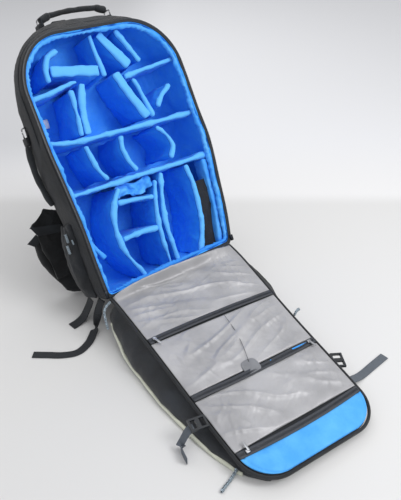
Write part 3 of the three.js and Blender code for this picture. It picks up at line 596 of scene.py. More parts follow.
zip_material = plain_material("zip_tape", (0.003, 2), ("16181B", "282B30"), 0.7, bump=(0.003, 2, 0.0003))
rim_count = 640
rim_middle = line_of_body(rim_band / 2, 0, rim_count, front=flange_depth / 2)
corner_turn = np.arange(12) * 2 * math.pi / 12
rim_section = np.stack([
    flange_depth / 2 * np.sign(np.cos(corner_turn)) * np.abs(np.cos(corner_turn)) ** 0.5,
    rim_band / 2 * np.sign(np.sin(corner_turn)) * np.abs(np.sin(corner_turn)) ** 0.5,
], -1)
rim_tape = piece("rim_zip_tape", on_body(swept(rim_middle, (0, 1, 0), rim_section, closed=True)),
                 quads(rim_count, 12, around=True, endless=True), zip_material,
                 ["rim_flange"])


box_corners = np.array([(a, b, c) for a in (-1, 1) for b in (-1, 1) for c in (-1, 1)])
box_faces = [(0, 1, 3, 2), (4, 6, 7, 5), (0, 4, 5, 1), (2, 3, 7, 6), (0, 2, 6, 4), (1, 5, 7, 3)]


def teeth(name, line, across, size, pitch, place, material, closed=False):
    """Coil teeth: a row of small blocks along a line, each one across it."""
    length = np.linalg.norm(np.diff(line, axis=0), axis=1).sum()
    middle = evenly(line, int(length / pitch), closed)
    forward = along_line(middle, closed)
    across = np.broadcast_to(np.asarray(across, float), middle.shape)
    side = unit(across - (across * forward).sum(1, keepdims=True) * forward)
    corners = (box_corners * np.asarray(size) / 2)[None]
    through = np.cross(forward, side)
    points = (middle[:, None] + corners[..., :1] * forward[:, None] + corners[..., 1:2] * side[:, None]
              + corners[..., 2:] * through[:, None])
    faces = [tuple(8 * k + i for i in face) for k in range(len(middle)) for face in box_faces]
    made = piece(name, place(points.reshape(-1, 3)), faces, material)
    made.data.shade_flat()
    return made


teeth_material = plain_material("zip_teeth", (0.01, 1), ("2B2E33", "4B5058"), 0.35)
rim_edge = line_of_body(2.2, 0, rim_count, front=-0.3)
teeth("rim_zip_teeth", rim_edge, (0, 1, 0), (1.2, 1.4, 3.0), 2.4, on_body, teeth_material, closed=True)

# The roll carries painted shade: it is darker at the bottom of the body, beside the hinge.
roll_material = blue_cloth("pale_blue_nylon", "60B6FE", "40A0FA", low="3494F6")
roll_count = 756
roll_line = line_of_body(rim_band, 0, roll_count, front=flange_depth + 0.3)
roll_turn = np.arange(14) * 2 * math.pi / 14
roll_step = np.arange(roll_count)[:, None]
roll_around = roll_step[:, 0] * 2 * math.pi / roll_count
roll_gather = [noise.noise(Vector((math.cos(a) * 4, math.sin(a) * 4, 2.5))) for a in roll_around]
roll_gather = np.array(roll_gather)[:, None]
roll_tucks = 118
roll_phase = 2 * math.pi * (roll_step * roll_tucks / roll_count + 3 * roll_gather)
roll_pucker = (0.5 + 1.6 * np.abs(roll_gather)) * np.sin(roll_phase)
roll_pucker = roll_pucker + 3.0 * roll_gather
roll_inward = np.clip(-np.cos(roll_turn), 0, 1)[None] * roll_pucker
roll_section = np.stack([
    np.broadcast_to(6.6 + 6.3 * np.sin(roll_turn), (roll_count, 14)),
    5.2 - 4.8 * np.cos(roll_turn)[None] + roll_inward,
], -1)
roll = piece("lining_edge_roll", on_body(swept(roll_line, (0, 1, 0), roll_section, closed=True)),
             quads(roll_count, 14, around=True, endless=True), roll_material,
             ["lining_roll"])
crumple(roll, [(0.035, 0.004, (1, 1, 1)), (-0.022, 0.0022, (1, 1, 1))], least=-0.0015)


# Dividers: foam boards in the same blue nylon, with a bound front edge that is also painted paler, a painted
# highlight where the front faces the light. They stand on touch tape, so that each one leans and bows a
# little, and the cloth is slack over the foam.
def soft_copy(name, node, size, material, layers, smooth=6, least=-1.0):
    """A CAD solid remade as a fine even mesh in its own upright frame, rounded and rumpled."""
    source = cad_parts[node]
    upright = Matrix.Rotation(lean, 4, "X")
    mesh = source.data.copy()
    mesh.transform(upright @ source.matrix_world)
    made = bpy.data.objects.new(name, mesh)
    bpy.context.scene.collection.objects.link(made)
    grid = made.modifiers.new("grid", "REMESH")
    grid.mode = "VOXEL"
    grid.voxel_size = size
    ease = made.modifiers.new("ease", "SMOOTH")
    ease.factor, ease.iterations = 0.5, smooth
    fine = settled(made)
    fine.name = name
    fine.transform(upright.inverted())
    fine.materials.clear()
    fine.materials.append(material)
    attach(made, "root")
    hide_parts(node)
    crumple(made, layers, least=least)
    return made


# The pale front band is the bound edge, and partly a painted highlight where it faces the light.
divider_material = blue_cloth("divider_nylon", "3AA4FF", "2C96FA", edge="60B8FF")
divider_nodes = sorted(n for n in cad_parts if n.startswith("divider_"))
for node in divider_nodes:
    soft_copy(node.replace("divider_", "pad_"), node, 0.0036, divider_material,
              [(0.06, 0.0036, (1, 1, 1)), (0.02, 0.0014, (1, 1, 1)), (-0.05, 0.0024, (1, 0.6, 1))])
for side in ("left", "right"):
    soft_copy("side_pad_" + side, "lining_strip_" + side, 0.003, roll_material,
              [(0.03, 0.0025, (1, 1, 1))])


def slab(name, top, bottom, material, replaces=()):
    """A closed sheet between two grids of points."""
    rows, columns = top.shape[:2]
    count = rows * columns
    faces = quads(rows, columns) + [tuple(count + i for i in f[::-1]) for f in quads(rows, columns)]
    edge = ([(0, i) for i in range(columns)] + [(j, columns - 1) for j in range(1, rows)]
            + [(rows - 1, i) for i in range(columns - 2, -1, -1)] + [(j, 0) for j in range(rows - 2, 0, -1)])
    rim = [j * columns + i for j, i in edge]
    for a, b in zip(rim, rim[1:] + rim[:1]):
        faces.append((b, a, a + count, b + count))
    points = np.vstack([top.reshape(-1, 3), bottom.reshape(-1, 3)])
    made = piece(name, points, faces, material, replaces)
    weld(made)
    return made


def rumpled_patch(name, grid, thickness, place, material, layers):
    """A loose piece of cloth: a grid of points in the body's millimetres, given a thickness and rumpled."""
    front = np.asarray(grid, float)
    made = slab(name, place(front), place(front + [0, thickness, 0]), material)
    crumple(made, layers)
    return made


gap_up = np.linspace(4, 182, 60)[:, None]
gap_from = np.interp(gap_up, [-12, 56, 110, 177, 233], [106, 139, 152, 157, 150]) + 2
gap_to = np.interp(gap_up, [0, 49, 104, 171, 233], [180, 191, 200, 206, 210]) - 3
gap_share = np.linspace(0, 1, 25)[None]
gap = rumpled_patch("side_gap_cloth", np.stack(np.broadcast_arrays(gap_from + (gap_to - gap_from) * gap_share,
                                                                   34 + 5 * np.sin(gap_up / 30), gap_up), -1),
                    2.0, on_body, shell_material, [(0.03, 0.004, (1, 1, 1))])

flap_across, flap_up = np.meshgrid(np.linspace(0, 1, 60), np.linspace(0, 1, 30))
flap_ruck = np.sin(17 * flap_across + 4 * flap_up) * 5 + np.sin(9 * flap_across - 7 * flap_up) * 4
flap = rumpled_patch("loose_flap", np.stack([-66 + 104 * flap_across, 30 + 10 * flap_up + flap_ruck,
                                             206 + 30 * flap_up + 6 * np.sin(8 * flap_across)], -1),
                     1.6, on_body, roll_material,
                     [(0.014, 0.005, (1, 1, 1)), (0.03, 0.006, (1, 1, 1))])

label_across, label_up = np.meshgrid(np.linspace(-147, -129, 9), np.linspace(427, 449, 9))
label_material = plain_material("white_label", (0.008, 2), ("FFFCE4", "FFFFEE"), 0.6)
label = rumpled_patch("care_label", np.stack([label_across, 138 + 2 * np.sin(label_up / 6), label_up], -1),
                      0.8, on_body, label_material, [(0.02, 0.001, (1, 1, 1))])


# Harness: the back panel, hip belt and shoulder straps are foam under black cloth, tucked behind
# the bag. The belt's left wing shows, with webbing sewn over it, beside a gathered side pocket.
harness_material = black_cloth("harness_cloth", "0B0D11", "15191E")
soft_copy("back_padding", "back_panel", 0.006, harness_material,
          [(0.09, 0.006, (1, 1, 1)), (0.03, 0.002, (1, 1, 1))])
soft_copy("hip_belt_padding", "hip_belt", 0.0045, harness_material,
          [(0.07, 0.009, (1, 1, 1)), (0.025, 0.003, (1, 1, 1))], least=-0.004)
for side in ("left", "right"):
    soft_copy("shoulder_padding_" + side, "shoulder_strap_" + side, 0.0045, harness_material,
              [(0.05, 0.004, (1, 1, 1))])
    soft_copy("pocket_" + side, "side_pocket_" + side, 0.003, shell_material,
              [(0.05, 0.008, (1, 1, 0.5)), (0.018, 0.003, (1, 1, 1))], least=-0.002)

body_turn = np.array([[1, 0, 0], [0, math.cos(lean), math.sin(lean)], [0, -math.sin(lean), math.cos(lean)]])


def block(name, place, sizes, turn, material, round_by=0.25):
    """A small rounded block: place in the row frame, sizes in millimetres, turned by a matrix."""
    corners = box_corners * np.asarray(sizes) / 2000
    made = piece(name, corners @ np.asarray(turn, float).T + place, box_faces, material)
    bevel = made.modifiers.new("edge", "BEVEL")
    bevel.width = min(sizes) / 1000 * round_by
    bevel.segments = 2
    return made


def patch_of(corners, rows=20, columns=30):
    """An even grid of points between four corners: top left, top right, bottom right, bottom left."""
    a, b, c, d = np.asarray(corners, float)
    u, v = np.linspace(0, 1, columns)[None, :, None], np.linspace(0, 1, rows)[:, None, None]
    return (a + (b - a) * u) * (1 - v) + (d + (c - d) * u) * v


belt_webbing = black_cloth("belt_webbing", "1A1D22", "2B3036", weave=0.0026)
belt_patches = [
    # name, corners in the body's millimetres, thickness, material, folds
    ("belt_wing_panel", [(-237, 203, 177), (-163, 198, 167), (-196, 200, 58), (-224, 203, 56)], 6,
     harness_material, [(0.04, 0.004, (1, 1, 1)), (-0.05, 0.004, (1, 1, 1))]),
    ("belt_wing_fin", [(-196, 203, 240), (-158, 200, 222), (-172, 201, 186), (-247, 206, 203)], 5,
     harness_material, [(0.04, 0.004, (1, 1, 1)), (-0.05, 0.003, (1, 1, 1))]),
    ("belt_band", [(-248, 201, 206), (-168, 196, 189), (-160, 196, 166), (-235, 201, 178)], 2.6,
     belt_webbing, [(0.03, 0.0015, (1, 1, 1))]),
    ("belt_strap_end", [(-238, 206, 184), (-233, 206, 164), (-251, 207, 154), (-268, 208, 168)], 2.6,
     belt_webbing, [(0.02, 0.001, (1, 1, 1))]),
]
for name, corners, thickness, material, folds in belt_patches:
    made = rumpled_patch(name, patch_of(corners), thickness, on_body, material, folds)
side_pocket_pulls = [
    # place in the body's millimetres, size across, through and up
    ((-219, 56, 160), (5, 7, 22)), ((-225, 55, 133), (5, 7, 22)), ((-214, 40, 148), (3, 4, 12)),
]
for k, (place, size) in enumerate(side_pocket_pulls):
    block(f"side_pocket_pull_{k + 1}", on_body(place), size, body_turn, cord_material)


# Handles: padded grips of black webbing at the top and on the left wall, each tied on with
# gun-metal rings and folded webbing tabs.
handle_material = black_cloth("handle_cloth", "101318", "20252B")
soft_copy("top_grip", "top_handle", 0.002, handle_material, [(0.02, 0.0012, (1, 1, 1))],
          smooth=3)
soft_copy("side_grip", "side_handle", 0.0026, handle_material, [(0.03, 0.002, (1, 1, 1))])

grip_ends = [
    # side, outer and inner end in the body's millimetres, the sleeve's radius
    ("left", (-84, 82.4, 667.5), (-56, 82.4, 677.0), 9.0),
    ("right", (100, 82.4, 670.5), (72, 82.4, 679.0), 9.0),
]
for side, near, far, radius in grip_ends:
    line = np.linspace(near, far, 12)
    swell = radius * (1 - 0.22 * np.abs(np.linspace(-1, 1, 12)) ** 6)
    sleeve_section = circle(16, 1.0)[None] * swell[:, None, None]
    sleeve_points, sleeve_faces = capped(on_body(swept(line, (0, 1, 0), sleeve_section)))
    sleeve = piece("grip_sleeve_" + side, sleeve_points, sleeve_faces, handle_material)
    crumple(sleeve, [(0.015, 0.0015, (1, 1, 1))])

metal_material = plain_material("gun_metal", (0.006, 2), ("1C1E22", "3A3E44"), 0.32,
                                uneven=(0.003, 2, 0.12), metallic=1.0)


def coated(node, material):
    """The CAD's own mesh of a node, shown in this material."""
    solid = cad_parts[node]
    solid.data.materials.clear()
    solid.data.materials.append(material)
    return solid


for node in ("handle_ring_left", "handle_ring_right", "side_ring"):
    ring = coated(node, metal_material)
    ring.modifiers.new("round", "SUBSURF").levels = 2
    ring.modifiers["round"].render_levels = 2

ring_tabs = [
    # ring, the tab's size across, through and up in the body's axes, share of the way up the ring
    ("handle_ring_left", (15, 30, 19), 0.22),
    ("handle_ring_right", (15, 30, 19), 0.22),
    ("side_ring", (10, 28, 20), 0.2),
]
for node, sizes, up in ring_tabs:
    low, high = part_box(node)
    middle = (np.array(low) + np.array(high)) / 2
    middle[2] = low[2] + up * (high[2] - low[2])
    block(node + "_tab", middle, sizes, body_turn, handle_material)
block("handle_keeper", on_body([-38, 92, 657]), (36, 34, 8), body_turn, handle_material)
block("hinge_slider_left", on_body([-196, -2.5, 6]), (9, 5, 20), body_turn, metal_material)
block("hinge_slider_right", on_body([203, -2.5, 6]), (9, 5, 16), body_turn, metal_material)


# Lid: a stiffened panel that swings a little to the left as it leaves the hinge. It is bound with
# black tape and lined with three slack pockets of silver-grey mesh under zips.
lid_hinge_half, lid_end_half, lid_length = 191.0, 164.0, 593.0
lid_corner, lid_panel_thickness, lid_start = 78.0, 7.0, 9.0
lid_bend = math.radians(-6.3) / 60
lid_turn_length, lid_shift, lid_wave = 60.0, -4.5, 2.2
pocket_margin = 8.2


def lid_half(along, margin=0.0):
    along = np.asarray(along, float)
    side = lid_hinge_half + (lid_end_half - lid_hinge_half) * along / lid_length
    past = along - (lid_length - lid_corner)
    turn = np.sqrt(np.maximum((lid_corner - margin) ** 2 - np.maximum(past, 0) ** 2, 0))
    return np.where(past <= 0, side - margin, side - lid_corner + turn)


def lid_points(across, along, height):
    """Places on the lid: across and along its face, and above the panel, in millimetres."""
    across, along, height = np.broadcast_arrays(*(np.asarray(v, float) for v in (across, along, height)))
    turned = np.minimum(along, lid_turn_length)
    turn = lid_bend * turned
    rest = along - turned
    middle_x = lid_shift + (1 - np.cos(turn)) / lid_bend + rest * np.sin(turn)
    middle_y = -np.sin(turn) / lid_bend - rest * np.cos(turn)
    lift = lid_wave * np.sin(2.6 * math.pi * along / lid_length + across / lid_hinge_half)
    x, y = middle_x + across * np.cos(turn), middle_y + across * np.sin(turn)
    return on_lid(np.stack([x, y, height + lift], -1))


def lid_line(across, along, height):
    """The same places in millimetres from the hinge, in the row frame's axes."""
    return (lid_points(across, along, height) - hinge) * 1000


def lid_patch(columns, rows, start, end, margin):
    """Across and along over a patch that follows the lid's rounded far corners."""
    bend_from, radius = lid_length - lid_corner, lid_corner - margin

    def turn_at(along):
        return math.asin(min(max((along - bend_from) / radius, 0), 1))

    straight = max(min(bend_from, end) - start, 0)
    total = straight + radius * (turn_at(end) - turn_at(start))
    gone = np.linspace(0, total, rows + 1)
    along = np.where(gone <= straight, start + gone,
                     bend_from + radius * np.sin(turn_at(start) + (gone - straight) / radius))
    across = np.linspace(-1, 1, columns + 1)[None] * lid_half(along, margin)[:, None]
    return across, np.broadcast_to(along[:, None], across.shape)


across, along = lid_patch(70, 110, lid_start, lid_length - 7.9, 7.9)
panel = slab("lid_board", lid_points(across, along, -0.2), lid_points(across, along, -lid_panel_thickness),
             shell_material, ["lid_panel"])

binding_side = np.linspace(lid_start, lid_length - lid_corner, 120)
binding_turn = np.linspace(0, math.pi / 2, 40)[1:]
binding_corner = float(lid_half(lid_length - lid_corner)) - lid_corner
binding_right = np.concatenate([
    np.stack([lid_half(binding_side) - 3.5, binding_side], -1),
    np.stack([binding_corner + (lid_corner - 3.5) * np.cos(binding_turn),
              lid_length - lid_corner + (lid_corner - 3.5) * np.sin(binding_turn)], -1),
])
binding_line = np.vstack([binding_right, (binding_right * [-1, 1])[::-1]])
binding_line = evenly(binding_line, 420)
binding_path = lid_line(binding_line[:, 0], binding_line[:, 1], -2.5)
binding_up = np.array([0, -math.sin(lid_slope), math.cos(lid_slope)])
binding_material = black_cloth("binding_tape", "16181B", "25282D")


def rod(name, line, across, section, material, replaces=()):
    """A solid cord along a line in millimetres from the hinge."""
    points, faces = capped(from_hinge_mm(swept(line, across, section)))
    return piece(name, points, faces, material, replaces)


binding = rod("lid_edge_binding", binding_path, binding_up, circle(12, 1.0) * [4.0, 3.5], binding_material,
              ["lid_binding"])

mesh_finish = Finish("silver_mesh")
mesh_cloud = mesh_finish.mottle(0.09, 3)
mesh_across, mesh_away, _ = mesh_finish.from_hinge(lid_slope)
mesh_holes = (mesh_across.wave(0.0022) * mesh_away.wave(0.0022)).eased(0.2, 0.7)
mesh_sheen = mesh_finish.mottle(0.03, 3)
mesh_tint = mesh_finish.mix(mesh_cloud.eased(0.3, 0.7), paint("A3A3A6"), paint("BCBCBF"))
mesh_material = mesh_finish.surface(
    Base_Color=mesh_finish.mix(mesh_holes * 0.35, mesh_tint, paint("727378")),
    Roughness=0.36 + mesh_sheen * 0.15,
    Metallic=0.3,
    Normal=mesh_finish.bump(mesh_holes, 0.0002, mesh_finish.bump(mesh_finish.mottle(0.03, 3), 0.0011)),
    Sheen_Weight=0.15,
)


def eased_share(share, low, high):
    s = np.clip((share - low) / (high - low), 0, 1)
    return s * s * (3 - 2 * s)


def ridges(across, along, width, length, skew, seed):
    """Sharp folds from 0 to 1, long one way and narrow the other."""
    spots = np.stack([(across + skew * along) / length, (along - skew * across) / width,
                      np.full(across.shape, 3.1 * seed)], -1).reshape(-1, 3)
    raw = np.array([1 - 2.2 * abs(noise.noise(Vector(p))) for p in spots]).reshape(across.shape)
    return np.clip(raw, 0, 1) ** 2.2


mesh_rows = [
    # name, replaced solid, from, to (shares of the lid's length), skew of its folds
    ("hinge_mesh", "mesh_pocket_hinge", 0.02, 0.31, 0.25),
    ("middle_mesh", "mesh_pocket_middle", 0.339, 0.597, -0.35),
    ("end_mesh", "mesh_pocket_end", 0.627, 0.852, 0.45),
]
for row, (name, node, start, end, skew) in enumerate(mesh_rows):
    start, end = max(start * lid_length, lid_start), end * lid_length
    columns, rows = 130, int((end - start) / (1.5 if row == 0 else 2.6))
    across, along = lid_patch(columns, rows, start, end, pocket_margin)
    u = np.linspace(0, 1, columns + 1)[None]
    v = np.linspace(0, 1, rows + 1)[:, None]
    edge = (1 - np.abs(2 * u - 1) ** 6) * np.sqrt(np.sin(math.pi * v))
    fold = 0.5 + 0.25 * np.sin(7 * u + 5 * v + 2 * row) + 0.2 * np.sin(13 * u - 4 * v + row)
    crest = 0.045 + 0.02 * np.sin(math.pi * u)
    roll_up = eased_share(v, 0, crest) * np.exp(-((np.maximum(v - crest, 0) / 0.06) ** 2))
    hinge_fold = 29 * roll_up * np.sin(math.pi * u**0.8) ** 0.55 if row == 0 else 0 * v
    wide = ridges(across, along, 34, 150, skew, row + 1)
    thin = ridges(across, along, 16, 70, -skew * 1.6, row + 5)
    pull = ridges(across, along, 60, 26, skew * 0.5, row + 9) * np.abs(2 * u - 1)
    height = 1.9 + hinge_fold + edge * (4.4 * fold + 5.4 * wide + 0.9 * thin + 3.6 * pull)
    cloth = slab(name, lid_points(across, along, height), lid_points(across, along, height - 1.2),
                 mesh_material, [node])
    2 * float(lid_half((start + end) / 2)) * 1.03 / 1000
    (end - start) * 1.08 / 1000

lid_tape_material = plain_material("pocket_zip_tape", (0.004, 2), ("2C2F35", "43474E"), 0.6,
                                   bump=(0.004, 2, 0.0003))
slider_material = plain_material("slider_metal", (0.004, 2), ("9A9DA2", "C4C6CA"), 0.3, metallic=1.0)


def lid_turn(degrees):
    """Axes of a small part that lies on the lid, turned in the lid's face."""
    a = math.radians(degrees)
    c, s, cs, ss = math.cos(a), math.sin(a), math.cos(lid_slope), math.sin(lid_slope)
    flat = np.array([[c, -s, 0], [s, c, 0], [0, 0, 1]])
    return np.array([[1, 0, 0], [0, cs, -ss], [0, ss, cs]]) @ flat


middle_zip_share, end_zip_share = 0.612, 0.867
lid_tape_width = 15.0
lid_zips = [
    # name, replaced solid, share of the lid's length, slider across, pull's turn, wave and sag of the tape
    ("hinge_pocket_zip", "lid_zip_hinge", 0.3245, -160, 18, 1.5, -3.0),
    ("middle_pocket_zip", "lid_zip_middle", middle_zip_share, 150, 12, 3.5, 4.0),
    ("end_pocket_zip", "lid_zip_end", end_zip_share, -138, 172, 1.0, 8.0),
]
for name, node, share, slider_at, pull_turn, bow, sag in lid_zips:
    start = share * lid_length - lid_tape_width / 2
    middle_along = start + lid_tape_width / 2
    across, along = lid_patch(100, 6, start, start + lid_tape_width, pocket_margin)
    half = float(lid_half(middle_along, pocket_margin))

    def zip_sag(across):
        return sag * (1 - (across / half) ** 2)

    def zip_lift(across):
        wave = bow * np.sin(across / 31 + share * 9) * np.sin(across / 83)
        return 0.5 * np.abs(wave) + 0.42 * abs(sag) * (1 - (across / half) ** 2)

    along = along + zip_sag(across)
    tape = slab(name, lid_points(across, along, 3.4 + zip_lift(across)),
                lid_points(across, along, 1.6 + zip_lift(across)),
                lid_tape_material, [node])
    2 * float(lid_half(start)) / 1000
    middle = np.linspace(-1, 1, 120) * float(lid_half(middle_along, pocket_margin + 3))
    coil = lid_line(middle, middle_along + zip_sag(middle), 4.2 + zip_lift(middle))
    teeth(name + "_teeth", coil, binding_up, (1.1, 1.2, 4.2), 2.2, from_hinge_mm, teeth_material)
    slider_along, slider_up = middle_along + zip_sag(slider_at), 6.4 + zip_lift(slider_at)
    pull_way = -1 if pull_turn > 90 else 1
    block(name + "_slider", lid_points(slider_at, slider_along, slider_up), (9, 7.5, 3.6), lid_turn(-6),
          slider_material)
    block(name + "_pull", lid_points(slider_at + 2, slider_along + 10 * pull_way, slider_up + 2.6),
          (5, 19, 1.6), lid_turn(pull_turn), slider_material)

seam_from, seam_to = 207, 343
seam_along = np.linspace(seam_from, seam_to, 60)
seam_share = (seam_along - seam_from) / (seam_to - seam_from)
seam_line = lid_line(20 - 28 * seam_share + 7 * np.sin(math.pi * seam_share), seam_along, 7.6)
pocket_seam = rod("pocket_seam", seam_line, (1, 0, 0), circle(6, 0.6), lid_tape_material)
opening_across, opening_along = np.meshgrid(np.linspace(36, 146, 40), np.linspace(-1, 1, 5))
opening_along = 362 + opening_along * 2.6 * np.sin(np.pi * (opening_across - 36) / 110) ** 0.5
opening = slab("zip_opening_lining", lid_points(opening_across, opening_along, 5.4),
               lid_points(opening_across, opening_along, 4.4), lining_material)

pad_start = end_zip_share * lid_length + 8.1
across, along = lid_patch(110, 44, pad_start, lid_length - pocket_margin, pocket_margin)
u, v = np.linspace(-1, 1, 111)[None], np.linspace(-1, 1, 45)[:, None]
pad_height = 0.5 + 6.0 * (0.3 + 0.7 * (1 - u**6) * (1 - v**4)) + 0.9 * ridges(across, along, 40, 120, 0.2, 21)
pad_groove = 2.6 * (np.exp(-(((np.abs(u) - 0.955) / 0.012) ** 2)) + np.exp(-(((v - 0.86) / 0.05) ** 2)))
end_pad_material = blue_cloth("light_blue_nylon", "5DB6F8", "4AA6F2")
end_pad = slab("end_pad", lid_points(across, along, np.maximum(pad_height - pad_groove, 1.0)),
               lid_points(across, along, 0.4), end_pad_material, ["lid_end_pad"])

tab_turn = np.linspace(0, 2 * math.pi, 64, endpoint=False)
tab_x = np.sign(np.cos(tab_turn)) * np.abs(np.cos(tab_turn)) ** 0.62
tab_y = np.sign(np.sin(tab_turn)) * np.abs(np.sin(tab_turn)) ** 0.7
tab_profile = [
    # radius, height
    (4, 0.0), (18.5, 0.0), (20, 0.9), (19.6, 1.9), (18, 2.2), (16.8, 1.7), (15, 2.0), (4, 2.3),
]
tab_rings = [lid_points(-10 + r * tab_x, middle_zip_share * lid_length - 8 - r * np.maximum(tab_y, -0.8),
                        4.3 + h + 1.5 * np.cos(tab_turn))
             for r, h in tab_profile]
tab_points, tab_faces = capped(np.array(tab_rings))
tab_material = black_cloth("tab_cloth", "74767B", "8C8E93")
tab = piece("round_tab", tab_points, tab_faces, tab_material, ["lid_tab"])

hinge_half = 186.0
hinge_x = np.linspace(-1, 1, 81) * hinge_half
gusset_body_rows = [
    # depth into the body, height up it
    (-0.8, -2.0), (-2.6, -2.6), (-4.6, -3.4),
]
gusset_lid_rows = [
    # along the lid, above it
    (9, 1.2), (13, 2.4),
]
gusset_body = np.array([
    on_body(np.stack([hinge_x, np.full_like(hinge_x, y), np.full_like(hinge_x, z)], -1))
    for y, z in gusset_body_rows
])
gusset_lid = np.array([lid_points(hinge_x, a, h) for a, h in gusset_lid_rows])
gusset_top = np.concatenate([gusset_body, gusset_lid])
gusset = slab("hinge_cloth", gusset_top, gusset_top - [0, 0, 0.0016], binding_material)


# Outer pocket: the lid's outside is a full gusseted pocket of black cloth. It carries the lid on the
# floor, sags in soft folds on the left and has a pale cream cord sewn along its foot.
pocket_swell = np.array([
    # along, left, right
    (0.00, 0.45, 0.70), (0.12, 0.75, 0.95), (0.30, 0.98, 0.85), (0.50, 1.00, 0.45), (0.70, 0.85, 0.30),
    (0.88, 0.45, 0.20), (1.00, 0.00, 0.00),
])
pocket_sides = np.array([
    # drop, swell
    (0.00, 0.00), (0.27, 0.42), (0.55, 0.92), (0.78, 1.00), (0.94, 0.80), (1.00, 0.45),
])
swell_left = curve_of(pocket_swell[:, 0], pocket_swell[:, 1])
swell_right = curve_of(pocket_swell[:, 0], pocket_swell[:, 2])
side_line = smooth_line(np.column_stack([pocket_sides, np.zeros(6)]), 22)
pocket_spread, pocket_shoulder = 46.0, 31.0
pocket_start, pocket_short = 17, 39
pocket_inset = 17.9


def outer_pocket_point(side, share, drop, out):
    """A point of the pocket's side in millimetres from the hinge: share of the way along the lid,
    drop from the lid's underside to the floor, out from its seat to its full swell."""
    along = pocket_start + share * (lid_length - pocket_short)
    seat = float(lid_half(along)) - pocket_inset
    swell = float((swell_left if side < 0 else swell_right)(share))
    across = side * (seat + out * swell * pocket_spread)
    at = lid_line(across, along, 0)
    lid_under = lid_line(across, along, -lid_panel_thickness - 0.5)
    eased = min(max(share / 0.25, 0), 1)
    low = -1000 * floor_below_hinge * (0.7 + 0.3 * eased * eased * (3 - 2 * eased))
    slack = drop * (1 - drop)
    fold = 9 * math.sin(23 * share + 3 * drop) * slack + 3 * math.sin(61 * share - 5 * drop) * slack
    shoulder_share = min(max((share - 0.01) / 0.44, 0), 1) if side > 0 else 0
    shoulder = pocket_shoulder * math.sin(math.pi * shoulder_share) ** 0.8 * (1 - drop) ** 5
    sideways = side * (fold * (1.0 if side < 0 else 0.6) + shoulder)
    return [at[0] + sideways, at[1], lid_under[2] + (low - lid_under[2]) * drop]


pocket_rings = []
for share in np.linspace(0, 1, 100):
    right = [outer_pocket_point(1, share, d, w) for d, w, _ in side_line]
    left = [outer_pocket_point(-1, share, d, w) for d, w, _ in side_line][::-1]
    under = list(np.linspace(right[-1], left[0], 14)[1:-1])
    over = list(np.linspace(left[-1], right[0], 14)[1:-1])
    pocket_rings.append(right + under + left + over)
pocket_points, pocket_faces = capped(from_hinge_mm(pocket_rings))
pocket_material = black_cloth("pocket_cloth", "1A1D22", "2A2F36", rough=0.46)
outer_pocket = piece("outer_pocket", pocket_points, pocket_faces, pocket_material,
                     ["front_pocket"])
weld(outer_pocket)
crumple(outer_pocket, [(0.05, 0.004, (1, 0.6, 1)), (0.018, 0.0014, (1, 1, 1))], least=-0.002)

cream_material = plain_material("cream_cord", (0.01, 2), ("C9CCBA", "DFE1D3"), 0.6)
cream_line = np.array([outer_pocket_point(-1, s, 0.88, 1.0) for s in np.linspace(0.02, 0.93, 120)])
foot_piping = rod("pocket_foot_piping", cream_line, (0, 0, 1), circle(8, 4.6), cream_material)


# Webbing: flat woven nylon straps, two black ones from the body's left side and two grey tails
# from the lid's ladder buckles, of black moulded plastic. All but the left tail reach the floor.
def webbing_cloth(name, tone, light):
    finish = Finish(name)
    x, y, z = finish.place()
    ribs = (x + y).wave(0.0028) * 0.5 + 0.5
    return finish.surface(
        Base_Color=finish.mix(ribs * 0.6 + finish.mottle(0.01, 2) * 0.4, paint(tone), paint(light)),
        Roughness=0.62,
        Normal=finish.bump(ribs, 0.0004),
    )


black_webbing = webbing_cloth("black_webbing", "14171B", "2A2E34")
grey_webbing = webbing_cloth("grey_webbing", "454B53", "6C747E")


def level(degrees):
    return np.array([math.cos(math.radians(degrees)), math.sin(math.radians(degrees)), 0])


def ribbon(name, node, route, width, across, material, steps=70):
    """A strap along a route over the floor: across gives its crosswise direction at a share of the way."""
    line = smooth_line(route, steps)
    share = np.linspace(0, 1, steps)
    side = np.array([across(s) for s in share])
    u = np.linspace(-1, 1, 9)
    outline = np.concatenate([np.stack([u * width / 2, 1 - 0.35 * np.abs(u) ** 4], -1),
                              np.stack([u[::-1] * width / 2, -1 + 0.35 * np.abs(u[::-1]) ** 4], -1)])
    points, faces = capped(on_floor(swept(line, side, outline)))
    made = piece(name, points, faces, material, [node])
    return made


long_route = [
    (-191.9, 38, 76), (-202, 38, 55), (-211, 36, 30), (-220, 31, 10), (-236, 17, 6), (-262, -3, 2),
    (-298, -14, 1.3), (-330, 0, 1.3), (-356, 22, 1.3), (-384, 46, 1.3),
]
short_route = [
    (-199, 83, 53.8), (-203, 83.5, 42), (-213, 83, 26), (-228, 81, 9), (-246, 79, 2.2), (-264, 77, 1.3),
]
left_tail_route = [
    (-243, -389, 46.5), (-254, -386, 43), (-264, -384, 28), (-271, -384, 16),
    (-276, -389, 11), (-281, -402, 11), (-286, -421, 11.2),
]
right_tail_route = [
    (105.6, -487, 19), (121, -488, 14), (140, -489, 8), (165, -489, 1.8), (210, -487, 1.3), (258, -485, 1.3),
]


def long_across(share):
    return level(-70 + 182 * eased_share(share, 0.05, 0.45))


def straight_across(share):
    return level(90)


def left_across(share):
    stood_up = eased_share(share, 0.4, 0.75)
    return level(74) * (1 - stood_up) + np.array([0, 0, 1.0]) * stood_up


ribbon("long_webbing", "floor_strap_long", long_route, 20, long_across,
       black_webbing)
ribbon("short_webbing", "floor_strap_short", short_route, 26, straight_across,
       black_webbing)
ribbon("left_tail", "lid_strap_left", left_tail_route, 20, left_across,
       grey_webbing)
ribbon("right_tail", "lid_strap_right", right_tail_route, 20, straight_across,
       grey_webbing)

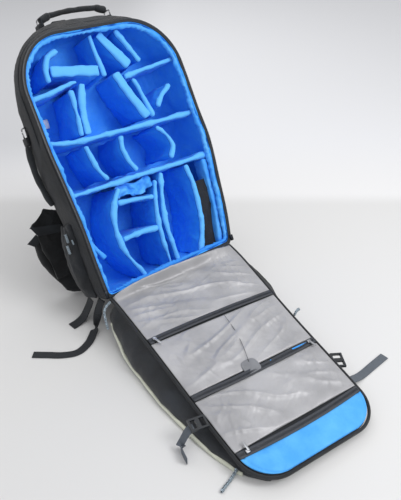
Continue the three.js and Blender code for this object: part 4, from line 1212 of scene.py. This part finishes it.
plastic_material = plain_material("moulded_plastic", (0.01, 2), ("1E2125", "2B2F34"), 0.34,
                                  uneven=(0.004, 2, 0.1), bump=(0.0015, 2, 0.0001))
for node in ("lid_buckle_left", "lid_buckle_right"):
    edge = coated(node, plastic_material).modifiers.new("edge", "BEVEL")
    edge.width, edge.segments = 0.0009, 3


# Studio: a pale seamless floor under a large soft overhead light. Painted light makes the floor paler behind
# the bag, and painted shade makes it darker again far off at the left.
floor_finish = Finish("studio_floor")
fx, fy, _ = floor_finish.place()
cx, cy = fx - camera.location.x, fy - camera.location.y
forward = cx * math.sin(heading) + cy * math.cos(heading)
# Painted light: past this line the floor is painted paler, and paler again further off.
painted_light_behind = forward.eased(1.70, 1.80)
far = forward.eased(1.80, 2.3)
floor_tint = floor_finish.mix(painted_light_behind, paint("DCDCDC"), paint("EAEAEB"))
floor_tint = floor_finish.mix(far, floor_tint, paint("EAEBEE"))
across_view = cx * math.cos(heading) - cy * math.sin(heading)
# Painted shade: far off at the left the floor is painted darker.
floor_tint = floor_finish.mix(far * (1 - across_view.eased(-0.75, -0.2)), floor_tint, paint("CFD0D3"))
floor_material = floor_finish.surface(Base_Color=floor_tint, Roughness=0.8)
floor_mesh = bpy.data.meshes.new("studio_floor")
floor_half, floor_height = 8, -0.0004
floor_corners = [
    (-floor_half, -floor_half, floor_height), (floor_half, -floor_half, floor_height),
    (floor_half, floor_half, floor_height), (-floor_half, floor_half, floor_height),
]
floor_mesh.from_pydata(floor_corners, [], [(0, 1, 2, 3)])
floor_mesh.materials.append(floor_material)
floor = bpy.data.objects.new("studio_floor", floor_mesh)
bpy.context.scene.collection.objects.link(floor)

world = bpy.data.worlds.new("studio")
bpy.context.scene.world = world
world.use_nodes = True
world.node_tree.nodes["Background"].inputs[0].default_value = paint("F9F9FA")
world.node_tree.nodes["Background"].inputs[1].default_value = 0.7


def soft_light(name, place, aim, size, power):
    light = bpy.data.objects.new(name, bpy.data.lights.new(name, "AREA"))
    bpy.context.scene.collection.objects.link(light)
    light.data.shape = "DISK"
    light.data.size = size
    light.data.energy = power
    light.location = place
    light.rotation_euler = (Vector(aim) - Vector(place)).to_track_quat("-Z", "Y").to_euler()
    return light


soft_light("overhead", (0.2, -0.3, 2.8), (0.05, 0.2, 0.2), 2.0, 13)
soft_light("front", (0.75, -1.55, 1.75), (0.07, 0.3, 0.35), 1.0, 23)
soft_light("behind", (1.2, 2.4, 2.4), (1.0, 2.2, 0), 2.0, 16)
bpy.context.scene.view_settings.view_transform = "Standard"
